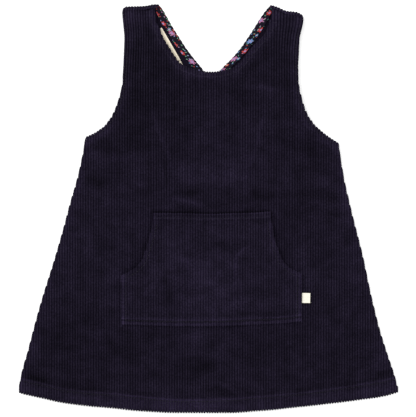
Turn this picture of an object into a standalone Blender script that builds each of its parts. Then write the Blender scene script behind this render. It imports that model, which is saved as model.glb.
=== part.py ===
"""A small child's corduroy pinafore dress, laid flat on its back.

The back panel lies on the surface. Two crossing back straps run up from it, fold
over at the shoulders and meet the front, which lies over them as one piece of
cloth with a kangaroo pocket sewn on. X runs across the dress, Y from the hem to
the shoulders, and Z up from the surface. The origin is under the middle of the
dress. Sizes are in millimetres, and MM turns them to metres when a point is made.
"""
import math
from collections import namedtuple

import bmesh
import bpy

MM = 0.001


def table(columns, *rows):
    """Return a table: one named row for each tuple."""
    row_type = namedtuple("Row", columns)
    return [row_type(*row) for row in rows]


# ---- Cloth ------------------------------------------------------------------------
WALL = 1.3                # corduroy between its wales
WALE_PITCH = 3.175        # eight wales to the inch
WALE_HEIGHT = 0.8
WALE_SLOPE = 0.28         # share of the pitch that each side of a wale takes
TRIM_WALL = 1.0           # facing and labels
SEAM_GAP = 0.3            # between pieces that are sewn together
SHOULDER_GAP = 0.7        # the same along the slanting shoulder seams
MIN_STEP = 1.2            # least distance between two points up a wale
COLUMN_CLEARANCE = 0.35   # least distance between two columns of points
CHORD_ERROR = 0.7         # how far a plain surface's edge may leave the true edge
PLAIN_SPAN = 28.0         # widest step across a plain surface
CREASE_DEGREES = 32       # edges that turn more than this are shaded sharp

# ---- Outline of the body ----------------------------------------------------------
HALF_HEM = 230.2
HEM = table(
    "x y",
    (-HALF_HEM, -223.9),
    (-204.2, -229.8),
    (-160.5, -238.1),
    (-116.7, -242.3),
    (-73.0, -246.4),
    (-29.2, -247.9),
    (14.5, -248.0),
    (58.3, -245.9),
    (102.0, -241.8),
    (145.7, -237.0),
    (189.5, -231.4),
    (211.3, -228.2),
    (HALF_HEM, -223.0),
)
HEM_CORNER = -216.1       # where each side seam starts above the hem's corner
HEM_TURN = 15.5           # depth of the turned-up hem
HEM_BULK = 0.7            # how much the turn-up lifts the cloth over it

SIDE_SEAMS = table(
    "y left right",
    (HEM_CORNER, -HALF_HEM, HALF_HEM - 0.8),
    (-204.0, -228.1, 226.4),
    (-174.8, -220.1, 216.7),
    (-116.5, -204.4, 200.3),
    (-58.1, -186.3, 187.7),
    (9.9, -167.4, 170.8),
    (58.5, -154.5, 161.1),
)
UNDERARM_LEFT = (-149.5, 86.5)
UNDERARM_RIGHT = (158.3, 79.2)
ARMHOLES = table(
    "y left right",
    (97.4, -130.0, 133.2),
    (107.1, -121.0, 124.6),
    (116.8, -115.1, 119.0),
    (126.6, -111.2, 115.3),
    (136.3, -108.1, 112.7),
    (146.0, -105.7, 110.5),
    (160.6, -104.2, 109.1),
)
WALL_LEFT = ARMHOLES[-1].left      # above here the front straps' outer edges stand
WALL_RIGHT = ARMHOLES[-1].right    # nearly straight up
# How far those edges lean out of the straight, by height.
STRAP_LEAN = table(
    "y left right",
    (160.6, 0.0, 0.0),
    (180.0, 1.1, -0.3),
    (204.3, 2.1, 1.1),
    (219.0, 1.6, 4.3),
    (228.6, 0.2, 5.9),
    (242.0, -0.8, 6.3),
)
NECK = table(
    "x y",
    (-64.8, 236.3),
    (-62.9, 225.6),
    (-59.5, 219.5),
    (-55.8, 209.7),
    (-47.0, 194.8),
    (-40.9, 185.0),
    (-31.5, 174.8),
    (-18.5, 169.1),
    (-4.6, 165.4),
    (4.2, 164.8),
    (16.3, 167.2),
    (26.8, 170.0),
    (35.9, 175.6),
    (43.5, 184.1),
    (51.2, 193.8),
    (60.3, 204.2),
    (69.3, 214.6),
    (74.1, 229.1),
)
NECK_LEFT = -65.3         # where the neck edge meets the shoulder seams
NECK_RIGHT = 76.3
# The garment's top edge, where the back straps fold over to the front.
FOLD_LEFT = table(
    "x y",
    (-104.8, 240.4),
    (-102.9, 243.3),
    (-99.5, 244.9),
    (-84.0, 245.3),
    (-74.0, 246.0),
    (-66.0, 247.5),
    (-60.0, 247.6),
)
FOLD_RIGHT = table(
    "x y",
    (75.0, 247.3),
    (85.5, 243.7),
    (96.0, 239.5),
    (104.0, 238.7),
    (111.8, 236.3),
    (115.2, 232.5),
)
FLAP_LEFT = 5.0           # how far each folded strap comes down onto the front
FLAP_RIGHT = 4.2
FLAP_SLANT = 0.64         # how fast a flap's neck edge draws in, as it turns back
FOLD_ANGLES = (90, 55, 20, -15, -50, -90)
BACK_TOP = table(
    "x y",
    (UNDERARM_LEFT[0], UNDERARM_LEFT[1]),
    (-110.0, 70.0),
    (-76.0, 60.0),
    (76.0, 60.0),
    (115.0, 66.0),
    (UNDERARM_RIGHT[0], UNDERARM_RIGHT[1]),
)

# ---- Back straps: their two edges, by height ----------------------------------------
STRAP_EDGES_LEFT = table(
    "y outer neck",
    (60.0, 10.5, 64.2),
    (170.3, -61.8, -8.2),
    (184.9, -72.4, -19.9),
    (209.2, -88.6, -36.6),
    (234.7, -103.4, -51.9),
    (241.0, -105.2, -55.4),
    (248.4, -106.0, -60.0),
)
STRAP_EDGES_RIGHT = table(
    "y outer neck",
    (60.0, -14.6, -65.6),
    (170.3, 68.0, 16.8),
    (184.9, 82.3, 30.9),
    (209.2, 100.0, 48.9),
    (232.5, 114.6, 63.9),
    (241.0, 116.2, 69.9),
    (248.4, 117.0, 76.0),
)
WALES_LEFT = 12           # wales across each strap's fold
WALES_RIGHT = 11
# Rows down a strap's run, as shares of it from the fold to the back's top edge.
RUN_SHARES = (0.03, 0.08, 0.16, 0.26, 0.36, 0.46, 0.58, 0.70, 0.82, 0.88, 0.94, 1.0)
PLAIN_STRAP_SHARES = (0.0, 0.05, 0.12, 0.24, 0.42, 0.70, 1.0)
LIFT = 2.9                # the right strap passes this high, over the left one
LIFT_LEVELS = table("y rise", (62.0, 0.0), (82.0, LIFT), (172.0, LIFT), (215.0, 0.0))
FACING_WIDTH = 10.4       # floral facing, measured straight across
FACING_SHARES = (0.004, *RUN_SHARES[:8])

# ---- How high the front's inner side lies ------------------------------------------
FOLD_AIR = 2.6            # inside a shoulder's fold, between its two layers
BED_SKIRT = WALL + SEAM_GAP
BED_STRAPS = WALL + FOLD_AIR
BED_CROSSING = 2.0        # added over the crossing straps
CROSSING_X = 3.0
SKIRT_TO_STRAPS = (45.0, 105.0)
CROSSING_RISE = (40.0, 76.0)
CROSSING_FALL = (178.0, 218.0)
CROSSING_SIDE = (46.0, 102.0)
# Broad soft folds, which lift both sides of the front together.
FOLDS = table(
    "x y half_width half_length height",
    (-58.0, -192.0, 26.0, 60.0, 1.5),
    (44.0, -186.0, 34.0, 62.0, 1.1),
    (-150.0, -150.0, 22.0, 90.0, 1.2),
    (160.0, -140.0, 24.0, 95.0, 1.3),
    (-40.0, 38.0, 30.0, 26.0, 1.0),
    (62.0, 34.0, 24.0, 30.0, 0.9),
    (-122.0, 20.0, 20.0, 55.0, 0.9),
    (130.0, 26.0, 20.0, 60.0, 1.0),
)
FRONT_LEVELS = (-192, -146, -90, -34, 14, 46, 70, 94, 134, 178, 208)
BACK_LEVELS = (-180, -110, -40, 20)

# ---- Pocket -------------------------------------------------------------------------
POCKET_LEFT = -105.9
POCKET_RIGHT = 113.0
POCKET_BOTTOM = table("x y", (POCKET_LEFT, -139.3), (2.2, -142.5), (POCKET_RIGHT, -136.0))
POCKET_TOP = table("x y", (-67.0, -5.0), (2.2, -6.3), (75.2, -2.9))
HAND_LEFT = table(
    "x y",
    (POCKET_LEFT, -80.2),
    (-95.0, -74.6),
    (-84.8, -66.9),
    (-74.2, -45.6),
    (-68.6, -24.0),
    (-67.3, -13.5),
)
HAND_RIGHT = table(
    "x y",
    (75.5, -11.0),
    (76.6, -24.5),
    (83.7, -47.3),
    (96.7, -66.9),
    (105.0, -72.9),
    (POCKET_RIGHT, -77.3),
)
POCKET_BAND = 7.0         # turned-over band along the pocket's top
BAND_BULK = 0.8
POCKET_LEVELS = (-126, -92, -60, -30)
POCKET_PUFF = 1.4         # how far the hand openings stand off the front
POCKET_SEWN = -128.0      # below here the pocket lies close on the front

# ---- Labels -------------------------------------------------------------------------
PATCHES = table(
    "name x y angle length width base",
    ("neck_label", -56.9, 220.1, -59.9, 44.8, 14.0, WALL + SEAM_GAP),
    ("care_label", -34.4, 180.3, -59.9, 9.0, 9.0, WALL + SEAM_GAP),
    ("side_tag", 124.0, -102.4, -90.0, 13.0, 10.6, BED_SKIRT + WALL + WALE_HEIGHT + SEAM_GAP),
)


def curve_through(rows, key, value):
    """Return a smooth function through two columns of a table, with no overshoot."""
    points = sorted((getattr(row, key), getattr(row, value)) for row in rows)
    xs = [point[0] for point in points]
    ys = [point[1] for point in points]
    chords = [(ys[i + 1] - ys[i]) / (xs[i + 1] - xs[i]) for i in range(len(xs) - 1)]
    slopes = [chords[0]]
    for before, after in zip(chords, chords[1:]):
        turning = before * after <= 0
        slopes.append(0.0 if turning else 2 * before * after / (before + after))
    slopes.append(chords[-1])

    def value_at(x):
        if x <= xs[0]:
            return ys[0]
        if x >= xs[-1]:
            return ys[-1]
        i = max(k for k in range(len(xs) - 1) if xs[k] <= x)
        step = xs[i + 1] - xs[i]
        t = (x - xs[i]) / step
        start = ys[i] + (x - xs[i]) * slopes[i]
        end = ys[i + 1] - (xs[i + 1] - x) * slopes[i + 1]
        blend = t * t * (3 - 2 * t)
        return start * (1 - blend) + end * blend

    return value_at


def smooth_step(value, low, high):
    """Rise smoothly from 0 at low to 1 at high."""
    t = min(max((value - low) / (high - low), 0.0), 1.0)
    return t * t * (3 - 2 * t)


def mix(a, b, share):
    return a + (b - a) * share


# ---- Outline curves -----------------------------------------------------------------
Point = namedtuple("Point", "x y")
Run = namedtuple("Run", "end curve")

side_left = curve_through(
    [Point(row.left, row.y) for row in SIDE_SEAMS] + [Point(*UNDERARM_LEFT)], "x", "y")
side_right = curve_through(
    [Point(row.right, row.y) for row in SIDE_SEAMS] + [Point(*UNDERARM_RIGHT)], "x", "y")
arm_left = curve_through(
    [Point(*UNDERARM_LEFT)] + [Point(row.left, row.y) for row in ARMHOLES], "x", "y")
arm_right = curve_through(
    [Point(*UNDERARM_RIGHT)] + [Point(row.right, row.y) for row in ARMHOLES], "x", "y")
hem_edge = curve_through(HEM, "x", "y")
neck_edge = curve_through(NECK, "x", "y")
fold_left = curve_through(FOLD_LEFT, "x", "y")
fold_right = curve_through(FOLD_RIGHT, "x", "y")
back_top_edge = curve_through(BACK_TOP, "x", "y")
lean_left = curve_through(STRAP_LEAN, "y", "left")
lean_right = curve_through(STRAP_LEAN, "y", "right")
lift_curve = curve_through(LIFT_LEVELS, "y", "rise")
hand_left = curve_through(HAND_LEFT, "x", "y")
hand_right = curve_through(HAND_RIGHT, "x", "y")
pocket_top_edge = curve_through(POCKET_TOP, "x", "y")
pocket_bottom_edge = curve_through(POCKET_BOTTOM, "x", "y")


def shoulder_left(x):
    return fold_left(x + STRAP_LEAN[-1].left * lean_share(x)) - FLAP_LEFT - SHOULDER_GAP


def shoulder_right(x):
    return fold_right(x + STRAP_LEAN[-1].right * lean_share(x)) - FLAP_RIGHT - SHOULDER_GAP


def lean_share(x):
    """How much of its strap's lean a wale takes: all at the armhole, none at the neck."""
    if x < 0:
        return min(max((NECK_LEFT - x) / (NECK_LEFT - WALL_LEFT), 0.0), 1.0)
    return min(max((x - NECK_RIGHT) / (WALL_RIGHT - NECK_RIGHT), 0.0), 1.0)


# The front's upper edge away from its shoulders, from left to right.
FRONT_RUNS = (
    Run(UNDERARM_LEFT[0], side_left),
    Run(WALL_LEFT, arm_left),
    Run(NECK_RIGHT, neck_edge),
    Run(UNDERARM_RIGHT[0], arm_right),
    Run(HALF_HEM, side_right),
)


def front_top(x):
    """Height at which the front ends, above a point of its hem."""
    if WALL_LEFT <= x <= NECK_LEFT:
        return shoulder_left(x)
    if NECK_RIGHT <= x <= WALL_RIGHT:
        return shoulder_right(x)
    return next(run.curve(x) for run in FRONT_RUNS if x <= run.end)


def back_top(x):
    """Height at which the back ends: side seams and the edge between the underarms."""
    if x < UNDERARM_LEFT[0]:
        return side_left(x)
    if x > UNDERARM_RIGHT[0]:
        return side_right(x)
    return back_top_edge(x)


def pocket_top(x):
    if x < POCKET_TOP[0].x:
        return hand_left(x)
    if x > POCKET_TOP[-1].x:
        return hand_right(x)
    return pocket_top_edge(x)


# ---- Heights of the cloth -----------------------------------------------------------
def wale(x):
    """Height of the ribbed face over the valleys: one trapezoid for each pitch."""
    phase = (x / WALE_PITCH) % 1.0
    return WALE_HEIGHT * min(min(phase, 1.0 - phase) / WALE_SLOPE, 1.0)


def soft_folds(x, y):
    total = 0.0
    for fold in FOLDS:
        across = abs(x - fold.x) / fold.half_width
        along = abs(y - fold.y) / fold.half_length
        total += fold.height * (1 - smooth_step(across, 0, 1)) * (1 - smooth_step(along, 0, 1))
    return total


def front_bed(x, y):
    """Height of the front's plain inner side over what lies under it."""
    straps = (BED_STRAPS - BED_SKIRT) * smooth_step(y, *SKIRT_TO_STRAPS)
    crossing = (BED_CROSSING * smooth_step(y, *CROSSING_RISE)
                * (1 - smooth_step(y, *CROSSING_FALL))
                * (1 - smooth_step(abs(x - CROSSING_X), *CROSSING_SIDE)))
    return BED_SKIRT + straps + crossing + soft_folds(x, y)


def front_face(x, y):
    """Height of the front's ribbed outer side, thicker over the turned-up hem."""
    turned = HEM_BULK * (1 - smooth_step(y - hem_edge(x), HEM_TURN, HEM_TURN + MIN_STEP))
    return front_bed(x, y) + WALL + wale(x) + turned


def pocket_bed(x, y):
    """Height of the pocket's inner side: the front's wales, moved out."""
    puff = POCKET_PUFF * smooth_step(y, POCKET_SEWN, POCKET_LEVELS[-1])
    return front_bed(x, y) + WALL + WALE_HEIGHT + SEAM_GAP + puff


def pocket_face(x, y):
    banded = POCKET_TOP[0].x <= x <= POCKET_TOP[-1].x
    below_top = pocket_top(x) - y
    band = BAND_BULK * (1 - smooth_step(below_top, POCKET_BAND, POCKET_BAND + MIN_STEP))
    return pocket_bed(x, y) + WALL + wale(x) + (band if banded else 0.0)


# ---- Meshes -------------------------------------------------------------------------
Column = namedtuple("Column", "x levels")


class ClothMesh:
    """Triangles of one closed cloth wall, collected piece by piece."""

    def __init__(self):
        self.mesh = bmesh.new()

    def chain(self, points):
        return [self.mesh.verts.new([size * MM for size in point]) for point in points]

    def strip(self, first, first_keys, second, second_keys, flip=False):
        """Fill between two rows of points with triangles, in the order of their keys."""
        i = 0
        j = 0
        while i < len(first) - 1 or j < len(second) - 1:
            second_done = j == len(second) - 1
            first_next = i < len(first) - 1 and (second_done or first_keys[i + 1] <= second_keys[j + 1])
            if first_next:
                corners = (first[i], second[j], first[i + 1])
                i += 1
            else:
                corners = (first[i], second[j], second[j + 1])
                j += 1
            self.mesh.faces.new(reversed(corners) if flip else corners)

    def finish(self, name, material):
        data = bpy.data.meshes.new(name)
        self.mesh.normal_update()
        self.mesh.to_mesh(data)
        self.mesh.free()
        data.shade_smooth()
        data.set_sharp_from_angle(angle=math.radians(CREASE_DEGREES))
        data.materials.append(material)
        piece = bpy.data.objects.new(name, data)
        bpy.context.scene.collection.objects.link(piece)
        return piece


def wale_positions(low, high, corners):
    """Where points stand across a ribbed face: each wale's foot and its two shoulders."""
    positions = set(corners)
    for count in range(math.floor(low / WALE_PITCH), math.ceil(high / WALE_PITCH) + 1):
        for share in (0.0, WALE_SLOPE, 1.0 - WALE_SLOPE):
            x = (count + share) * WALE_PITCH
            near = min(abs(x - corner) for corner in corners)
            if low < x < high and near > COLUMN_CLEARANCE:
                positions.add(x)
    return sorted(positions)


def plain_positions(positions, low, high, walls, corners):
    """Keep the few positions that a plain surface needs to follow its own edges."""
    must = set(corners)
    for wall in walls:
        place = positions.index(wall)
        must.update(positions[max(place - 1, 0):place + 2])
    kept = [0]
    for end in range(2, len(positions)):
        start = kept[-1]
        span = positions[end] - positions[start]
        error = 0.0
        for middle in range(start + 1, end):
            share = (positions[middle] - positions[start]) / span
            for edge in (low, high):
                chord = mix(edge(positions[start]), edge(positions[end]), share)
                error = max(error, abs(chord - edge(positions[middle])))
        if error > CHORD_ERROR or span > PLAIN_SPAN or positions[end - 1] in must:
            kept.append(end - 1)
    kept.append(len(positions) - 1)
    return [positions[index] for index in kept]


def make_columns(positions, low, high, levels_at, walls):
    """Give each position its points from the lower edge to the upper one."""
    columns = []
    for x in positions:
        bottom = low(x)
        top = high(x)
        between = [y for y in levels_at(x) if bottom + MIN_STEP < y < top - MIN_STEP]
        columns.append(Column(x, [bottom] + sorted(between) + [top]))
    for before, after in zip(columns, columns[1:]):
        for wall, neighbour in ((before, after), (after, before)):
            if stands_above(wall, neighbour, walls):
                step = neighbour.levels[-1]
                clear = [y for y in wall.levels[1:-1] if abs(y - step) > MIN_STEP]
                wall.levels[1:-1] = sorted(clear + [step])
    return columns


def stands_above(column, neighbour, walls):
    """Whether a column is a wall, an upright edge that rises above its neighbour."""
    return column.x in walls and column.levels[-1] > neighbour.levels[-1] + MIN_STEP


def joined_part(column, neighbour, walls):
    """How many of a column's points face its neighbour: a wall's upper ones don't."""
    if stands_above(column, neighbour, walls):
        return column.levels.index(neighbour.levels[-1]) + 1
    return len(column.levels)


def upper_edge(columns, rows, walls):
    """Follow the upper edge from left to right, up and down the walls."""
    points = [rows[0][-1]]
    keys = [columns[0].x]
    climbed = 0.0
    for i, (before, after) in enumerate(zip(columns, columns[1:])):
        falling = range(len(before.levels) - 2, joined_part(before, after, walls) - 2, -1)
        for k in falling:
            climbed += before.levels[k + 1] - before.levels[k]
            points.append(rows[i][k])
            keys.append(before.x + climbed)
        for k in range(joined_part(after, before, walls) - 1, len(after.levels)):
            if k > joined_part(after, before, walls) - 1:
                climbed += after.levels[k] - after.levels[k - 1]
            points.append(rows[i + 1][k])
            keys.append(after.x + climbed)
    return points, keys


def panel(name, material, positions, corners, walls, low, high, levels_at, place, face, bed):
    """Build a wall of cloth over columns of points, with a ribbed and a plain side."""
    cloth = ClothMesh()
    sides = []
    plain = plain_positions(positions, low, high, walls, corners)
    for chosen, height, flip in ((positions, face, True), (plain, bed, False)):
        columns = make_columns(chosen, low, high, levels_at, walls)
        rows = [cloth.chain([(*place(column.x, y), height(column.x, y)) for y in column.levels])
                for column in columns]
        for i, (before, after) in enumerate(zip(columns, columns[1:])):
            left = joined_part(before, after, walls)
            right = joined_part(after, before, walls)
            cloth.strip(rows[i][:left], before.levels[:left],
                        rows[i + 1][:right], after.levels[:right], flip=not flip)
        lower = ([row[0] for row in rows], [column.x for column in columns])
        sides.append((columns, rows, lower, upper_edge(columns, rows, walls)))
    (columns, rows, lower, upper), (plain_columns, plain_rows, plain_lower, plain_upper) = sides
    cloth.strip(*lower, *plain_lower)
    cloth.strip(*upper, *plain_upper, flip=True)
    cloth.strip(rows[0], columns[0].levels, plain_rows[0], plain_columns[0].levels, flip=True)
    cloth.strip(rows[-1], columns[-1].levels, plain_rows[-1], plain_columns[-1].levels)
    return cloth.finish(name, material)


def leaning(x, y):
    """Where a front point stands: the wales fan out a little up the straps."""
    lean = lean_left if x < 0 else lean_right
    return x + lean(y) * lean_share(x), y


def upright(x, y):
    return x, y


def flat_run(y):
    """Height of the strap that lies flat all the way."""
    return 0.0


def build_front(material):
    corners = (-HALF_HEM, UNDERARM_LEFT[0], WALL_LEFT, NECK_LEFT,
               NECK_RIGHT, WALL_RIGHT, UNDERARM_RIGHT[0], HALF_HEM)
    walls = (WALL_LEFT, WALL_RIGHT)

    def levels_at(x):
        stitched = hem_edge(x) + HEM_TURN
        return [y for y in FRONT_LEVELS if y > stitched + 2 * MIN_STEP] + [
            stitched, stitched + MIN_STEP]

    positions = wale_positions(-HALF_HEM, HALF_HEM, corners)
    return panel("front", material, positions, corners, walls,
                 hem_edge, front_top, levels_at, leaning, front_face, front_bed)


def build_back(material):
    corners = (-HALF_HEM, UNDERARM_LEFT[0], UNDERARM_RIGHT[0], HALF_HEM)
    positions = wale_positions(-HALF_HEM, HALF_HEM, corners)
    few = plain_positions(positions, hem_edge, back_top, (), corners)
    return panel("back", material, few, corners, (), hem_edge, back_top,
                 lambda x: BACK_LEVELS, upright, lambda x, y: WALL, lambda x, y: 0.0)


def build_pocket(material):
    walls = (POCKET_TOP[0].x, POCKET_TOP[-1].x)
    corners = (POCKET_LEFT, HAND_LEFT[-1].x, *walls, HAND_RIGHT[0].x, POCKET_RIGHT)

    def levels_at(x):
        if not walls[0] <= x <= walls[1]:
            return POCKET_LEVELS
        band = pocket_top(x) - POCKET_BAND
        return [*POCKET_LEVELS, band - MIN_STEP, band]

    positions = wale_positions(POCKET_LEFT, POCKET_RIGHT, corners)
    return panel("pocket", material, positions, corners, walls, pocket_bottom_edge,
                 pocket_top, levels_at, upright, pocket_face, pocket_bed)


# ---- Back straps --------------------------------------------------------------------
class Strap:
    """One back strap: a flap on the front, a fold at the shoulder, and a long run down."""

    def __init__(self, edges, fold_table, fold_curve, flap, lift, wales):
        self.outer = curve_through(edges, "y", "outer")
        self.neck = curve_through(edges, "y", "neck")
        ends = (fold_table[0].x, fold_table[-1].x)
        self.fold_ends = ends if ends[0] < 0 else ends[::-1]
        self.fold_curve = fold_curve
        self.lift = lift
        self.wales = wales
        self.radius = BED_STRAPS / 2 + WALL / 2
        self.slide = flap - self.radius
        self.slant = FLAP_SLANT if self.fold_ends[0] < 0 else -FLAP_SLANT

    def across(self, share, y):
        return mix(self.outer(y), self.neck(y), share)

    def shoulder(self, share):
        """Top of the fold at a share of the strap's width from its armhole edge."""
        x = mix(*self.fold_ends, share)
        return x, self.fold_curve(x)

    def wale(self, share):
        phase = (share * self.wales) % 1.0
        return WALE_HEIGHT * min(min(phase, 1.0 - phase) / WALE_SLOPE, 1.0)

    def fold_point(self, share, angle, inner, slide=0.0):
        """A point on the fold: 90 degrees is its top, -90 where the run begins."""
        x, y = self.shoulder(share)
        turn = math.radians(angle)
        fade = max(0.0, (1 + math.sin(turn)) / 2)
        reach = self.radius - WALL if inner else self.radius + self.wale(share) * fade
        turned_back = max(turn, 0.0) * self.radius + slide
        turned_under = 1 - math.cos(min(turn, 0.0))
        return (x - self.slant * share * turned_back
                + (self.across(share, y - self.radius) - x) * turned_under,
                y - self.radius + reach * math.cos(turn) - slide,
                self.radius + reach * math.sin(turn))

    def run_point(self, share, down, rise):
        """A point down the run, at a height over the strap's lower side."""
        start = self.shoulder(share)[1] - self.radius
        end = back_top_edge(self.across(share, BACK_TOP[2].y)) + SEAM_GAP
        level = mix(start, end, down)
        return self.across(share, level), level, self.lift(level) + rise

    def build(self, name, material):
        cloth = ClothMesh()
        fine = sorted({(count + place) / self.wales for count in range(self.wales)
                       for place in (0.0, WALE_SLOPE, 1 - WALE_SLOPE)} | {1.0})
        plain = PLAIN_STRAP_SHARES
        ribbed = [cloth.chain([self.fold_point(s, FOLD_ANGLES[0], False, self.slide)
                               for s in fine])]
        for angle in FOLD_ANGLES:
            ribbed.append(cloth.chain([self.fold_point(s, angle, False) for s in fine]))
        under = [cloth.chain([self.run_point(s, down, 0.0) for s in plain])
                 for down in RUN_SHARES]
        inner = [cloth.chain([self.fold_point(s, FOLD_ANGLES[0], True, self.slide)
                              for s in plain])]
        for angle in FOLD_ANGLES:
            inner.append(cloth.chain([self.fold_point(s, angle, True) for s in plain]))
        inner += [cloth.chain([self.run_point(s, down, WALL) for s in plain])
                  for down in RUN_SHARES]
        flip = self.fold_ends[0] < 0
        for before, after in zip(ribbed, ribbed[1:]):
            cloth.strip(before, fine, after, fine, flip=flip)
        cloth.strip(ribbed[-1], fine, under[0], plain, flip=flip)
        for before, after in zip(under, under[1:]):
            cloth.strip(before, plain, after, plain, flip=flip)
        for before, after in zip(inner, inner[1:]):
            cloth.strip(before, plain, after, plain, flip=not flip)
        cloth.strip(ribbed[0], fine, inner[0], plain, flip=not flip)
        cloth.strip(under[-1], plain, inner[-1], plain, flip=flip)
        keys = list(range(len(inner)))
        outside = ribbed + under
        for place, turned in ((0, flip), (-1, not flip)):
            cloth.strip([row[place] for row in outside], keys,
                        [row[place] for row in inner], keys, flip=turned)
        return cloth.finish(name, material)

    def build_facing(self, name, material):
        """A strip of floral cotton along the neck edge, on the strap's inner side."""
        cloth = ClothMesh()
        width = abs(self.neck(BACK_TOP[2].y) - self.outer(BACK_TOP[2].y))
        shares = [1 - FACING_WIDTH / width, 1 - SEAM_GAP / width]
        sheets = [[cloth.chain([self.run_point(s, down, WALL + SEAM_GAP + rise) for s in shares])
                   for down in FACING_SHARES]
                  for rise in (TRIM_WALL, 0.0)]
        flip = self.fold_ends[0] < 0
        for sheet, turned in zip(sheets, (not flip, flip)):
            for before, after in zip(sheet, sheet[1:]):
                cloth.strip(before, shares, after, shares, flip=turned)
        top, under = sheets
        keys = list(range(len(top)))
        cloth.strip(top[0], shares, under[0], shares, flip=flip)
        cloth.strip(top[-1], shares, under[-1], shares, flip=not flip)
        for place, turned in ((0, not flip), (-1, flip)):
            cloth.strip([row[place] for row in top], keys,
                        [row[place] for row in under], keys, flip=turned)
        return cloth.finish(name, material)


def build_patch(row, material):
    """A label: a thin rectangle that runs along its angle, to the right of its width."""
    cloth = bmesh.new()
    bmesh.ops.create_cube(cloth, size=1.0)
    bmesh.ops.translate(cloth, vec=(0.5, -0.5, 0.5), verts=cloth.verts)
    bmesh.ops.scale(cloth, vec=(row.length * MM, row.width * MM, TRIM_WALL * MM),
                    verts=cloth.verts)
    data = bpy.data.meshes.new(row.name)
    cloth.to_mesh(data)
    cloth.free()
    data.materials.append(material)
    piece = bpy.data.objects.new(row.name, data)
    piece.location = (row.x * MM, row.y * MM, row.base * MM)
    piece.rotation_euler = (0.0, 0.0, math.radians(row.angle))
    bpy.context.scene.collection.objects.link(piece)
    return piece


# ---- Materials ----------------------------------------------------------------------
def make_material(name, colour, roughness):
    material = bpy.data.materials.new(name)
    material.use_nodes = True
    shader = material.node_tree.nodes["Principled BSDF"]
    shader.inputs["Base Color"].default_value = (*colour, 1.0)
    shader.inputs["Roughness"].default_value = roughness
    shader.inputs["Metallic"].default_value = 0.0
    return material


def main():
    for old in list(bpy.data.objects):
        bpy.data.objects.remove(old, do_unlink=True)
    corduroy = make_material("navy cotton corduroy", (0.011, 0.009, 0.018), 0.95)
    facing = make_material("floral cotton facing", (0.035, 0.030, 0.075), 0.85)
    label = make_material("cream woven label", (0.88, 0.78, 0.62), 0.8)
    build_front(corduroy)
    build_back(corduroy)
    build_pocket(corduroy)
    straps = (
        ("left", Strap(STRAP_EDGES_LEFT, FOLD_LEFT, fold_left, FLAP_LEFT,
                       flat_run, WALES_LEFT)),
        ("right", Strap(STRAP_EDGES_RIGHT, FOLD_RIGHT, fold_right, FLAP_RIGHT,
                        lift_curve, WALES_RIGHT)),
    )
    for side, strap in straps:
        strap.build(f"strap_{side}", corduroy)
        strap.build_facing(f"facing_{side}", facing)
    for row in PATCHES:
        build_patch(row, label)


main()
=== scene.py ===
"""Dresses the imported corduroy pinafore, laid flat, and puts it under soft studio light.

Corduroy panels are thin shells with every wale modelled, sewn down with rows of
thread. Tables hold sizes in millimetres; MM turns them to metres in a finished mesh.
"""
import math
from collections import namedtuple

import bpy
import numpy as np
from bpy.props import FloatProperty, FloatVectorProperty, IntProperty, PointerProperty
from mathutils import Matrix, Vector, kdtree


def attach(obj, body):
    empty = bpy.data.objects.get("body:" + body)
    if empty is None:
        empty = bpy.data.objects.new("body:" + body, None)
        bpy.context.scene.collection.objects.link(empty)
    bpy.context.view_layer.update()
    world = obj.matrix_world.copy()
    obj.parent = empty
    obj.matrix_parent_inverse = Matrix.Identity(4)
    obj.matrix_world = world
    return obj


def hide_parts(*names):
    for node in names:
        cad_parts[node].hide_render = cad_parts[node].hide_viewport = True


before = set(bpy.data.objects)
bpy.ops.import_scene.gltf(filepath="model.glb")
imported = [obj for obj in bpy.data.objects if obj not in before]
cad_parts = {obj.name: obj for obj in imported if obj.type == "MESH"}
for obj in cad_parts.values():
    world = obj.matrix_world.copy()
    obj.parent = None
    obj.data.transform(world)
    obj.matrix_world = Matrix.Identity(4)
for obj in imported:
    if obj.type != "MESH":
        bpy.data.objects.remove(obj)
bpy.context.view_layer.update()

bl_info = {
    "name": "Corduroy Pinafore",
    "version": (1, 0, 0),
    "blender": (4, 5, 0),
    "location": "View3D > Sidebar > Pinafore",
    "description": "Builds a child's corduroy pinafore dress, laid flat, piece by piece",
    "category": "Object",
}

MM = 0.001
BODY = "root"


def table(columns, *rows):
    """Return a table: one named row for each tuple."""
    row_type = namedtuple("Row", columns)
    return [row_type(*row) for row in rows]


def linear(hex_colour):
    """Turn an sRGB hex colour to linear red, green and blue."""
    channels = [int(hex_colour[place:place + 2], 16) / 255 for place in (1, 3, 5)]
    return tuple(c / 12.92 if c <= 0.04045 else ((c + 0.055) / 1.055) ** 2.4 for c in channels)


# ---- Cloth and outline, as the solids have them ---------------------------------------
WALL = 1.3                # corduroy between its wales
WALE_PITCH = 3.175        # eight wales to the inch
WALE_HEIGHT = 0.8
SEAM_GAP = 0.3            # air between pieces that are sewn together
SHOULDER_GAP = 0.2        # the same between the front's shoulders and the flaps' ends
FOLD_AIR = 2.6            # inside the straps' folds
BED_SKIRT = WALL + SEAM_GAP       # height of the front's inner side where it lies on the back
BED_STRAPS = WALL + FOLD_AIR      # the same where it lies over the straps

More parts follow.
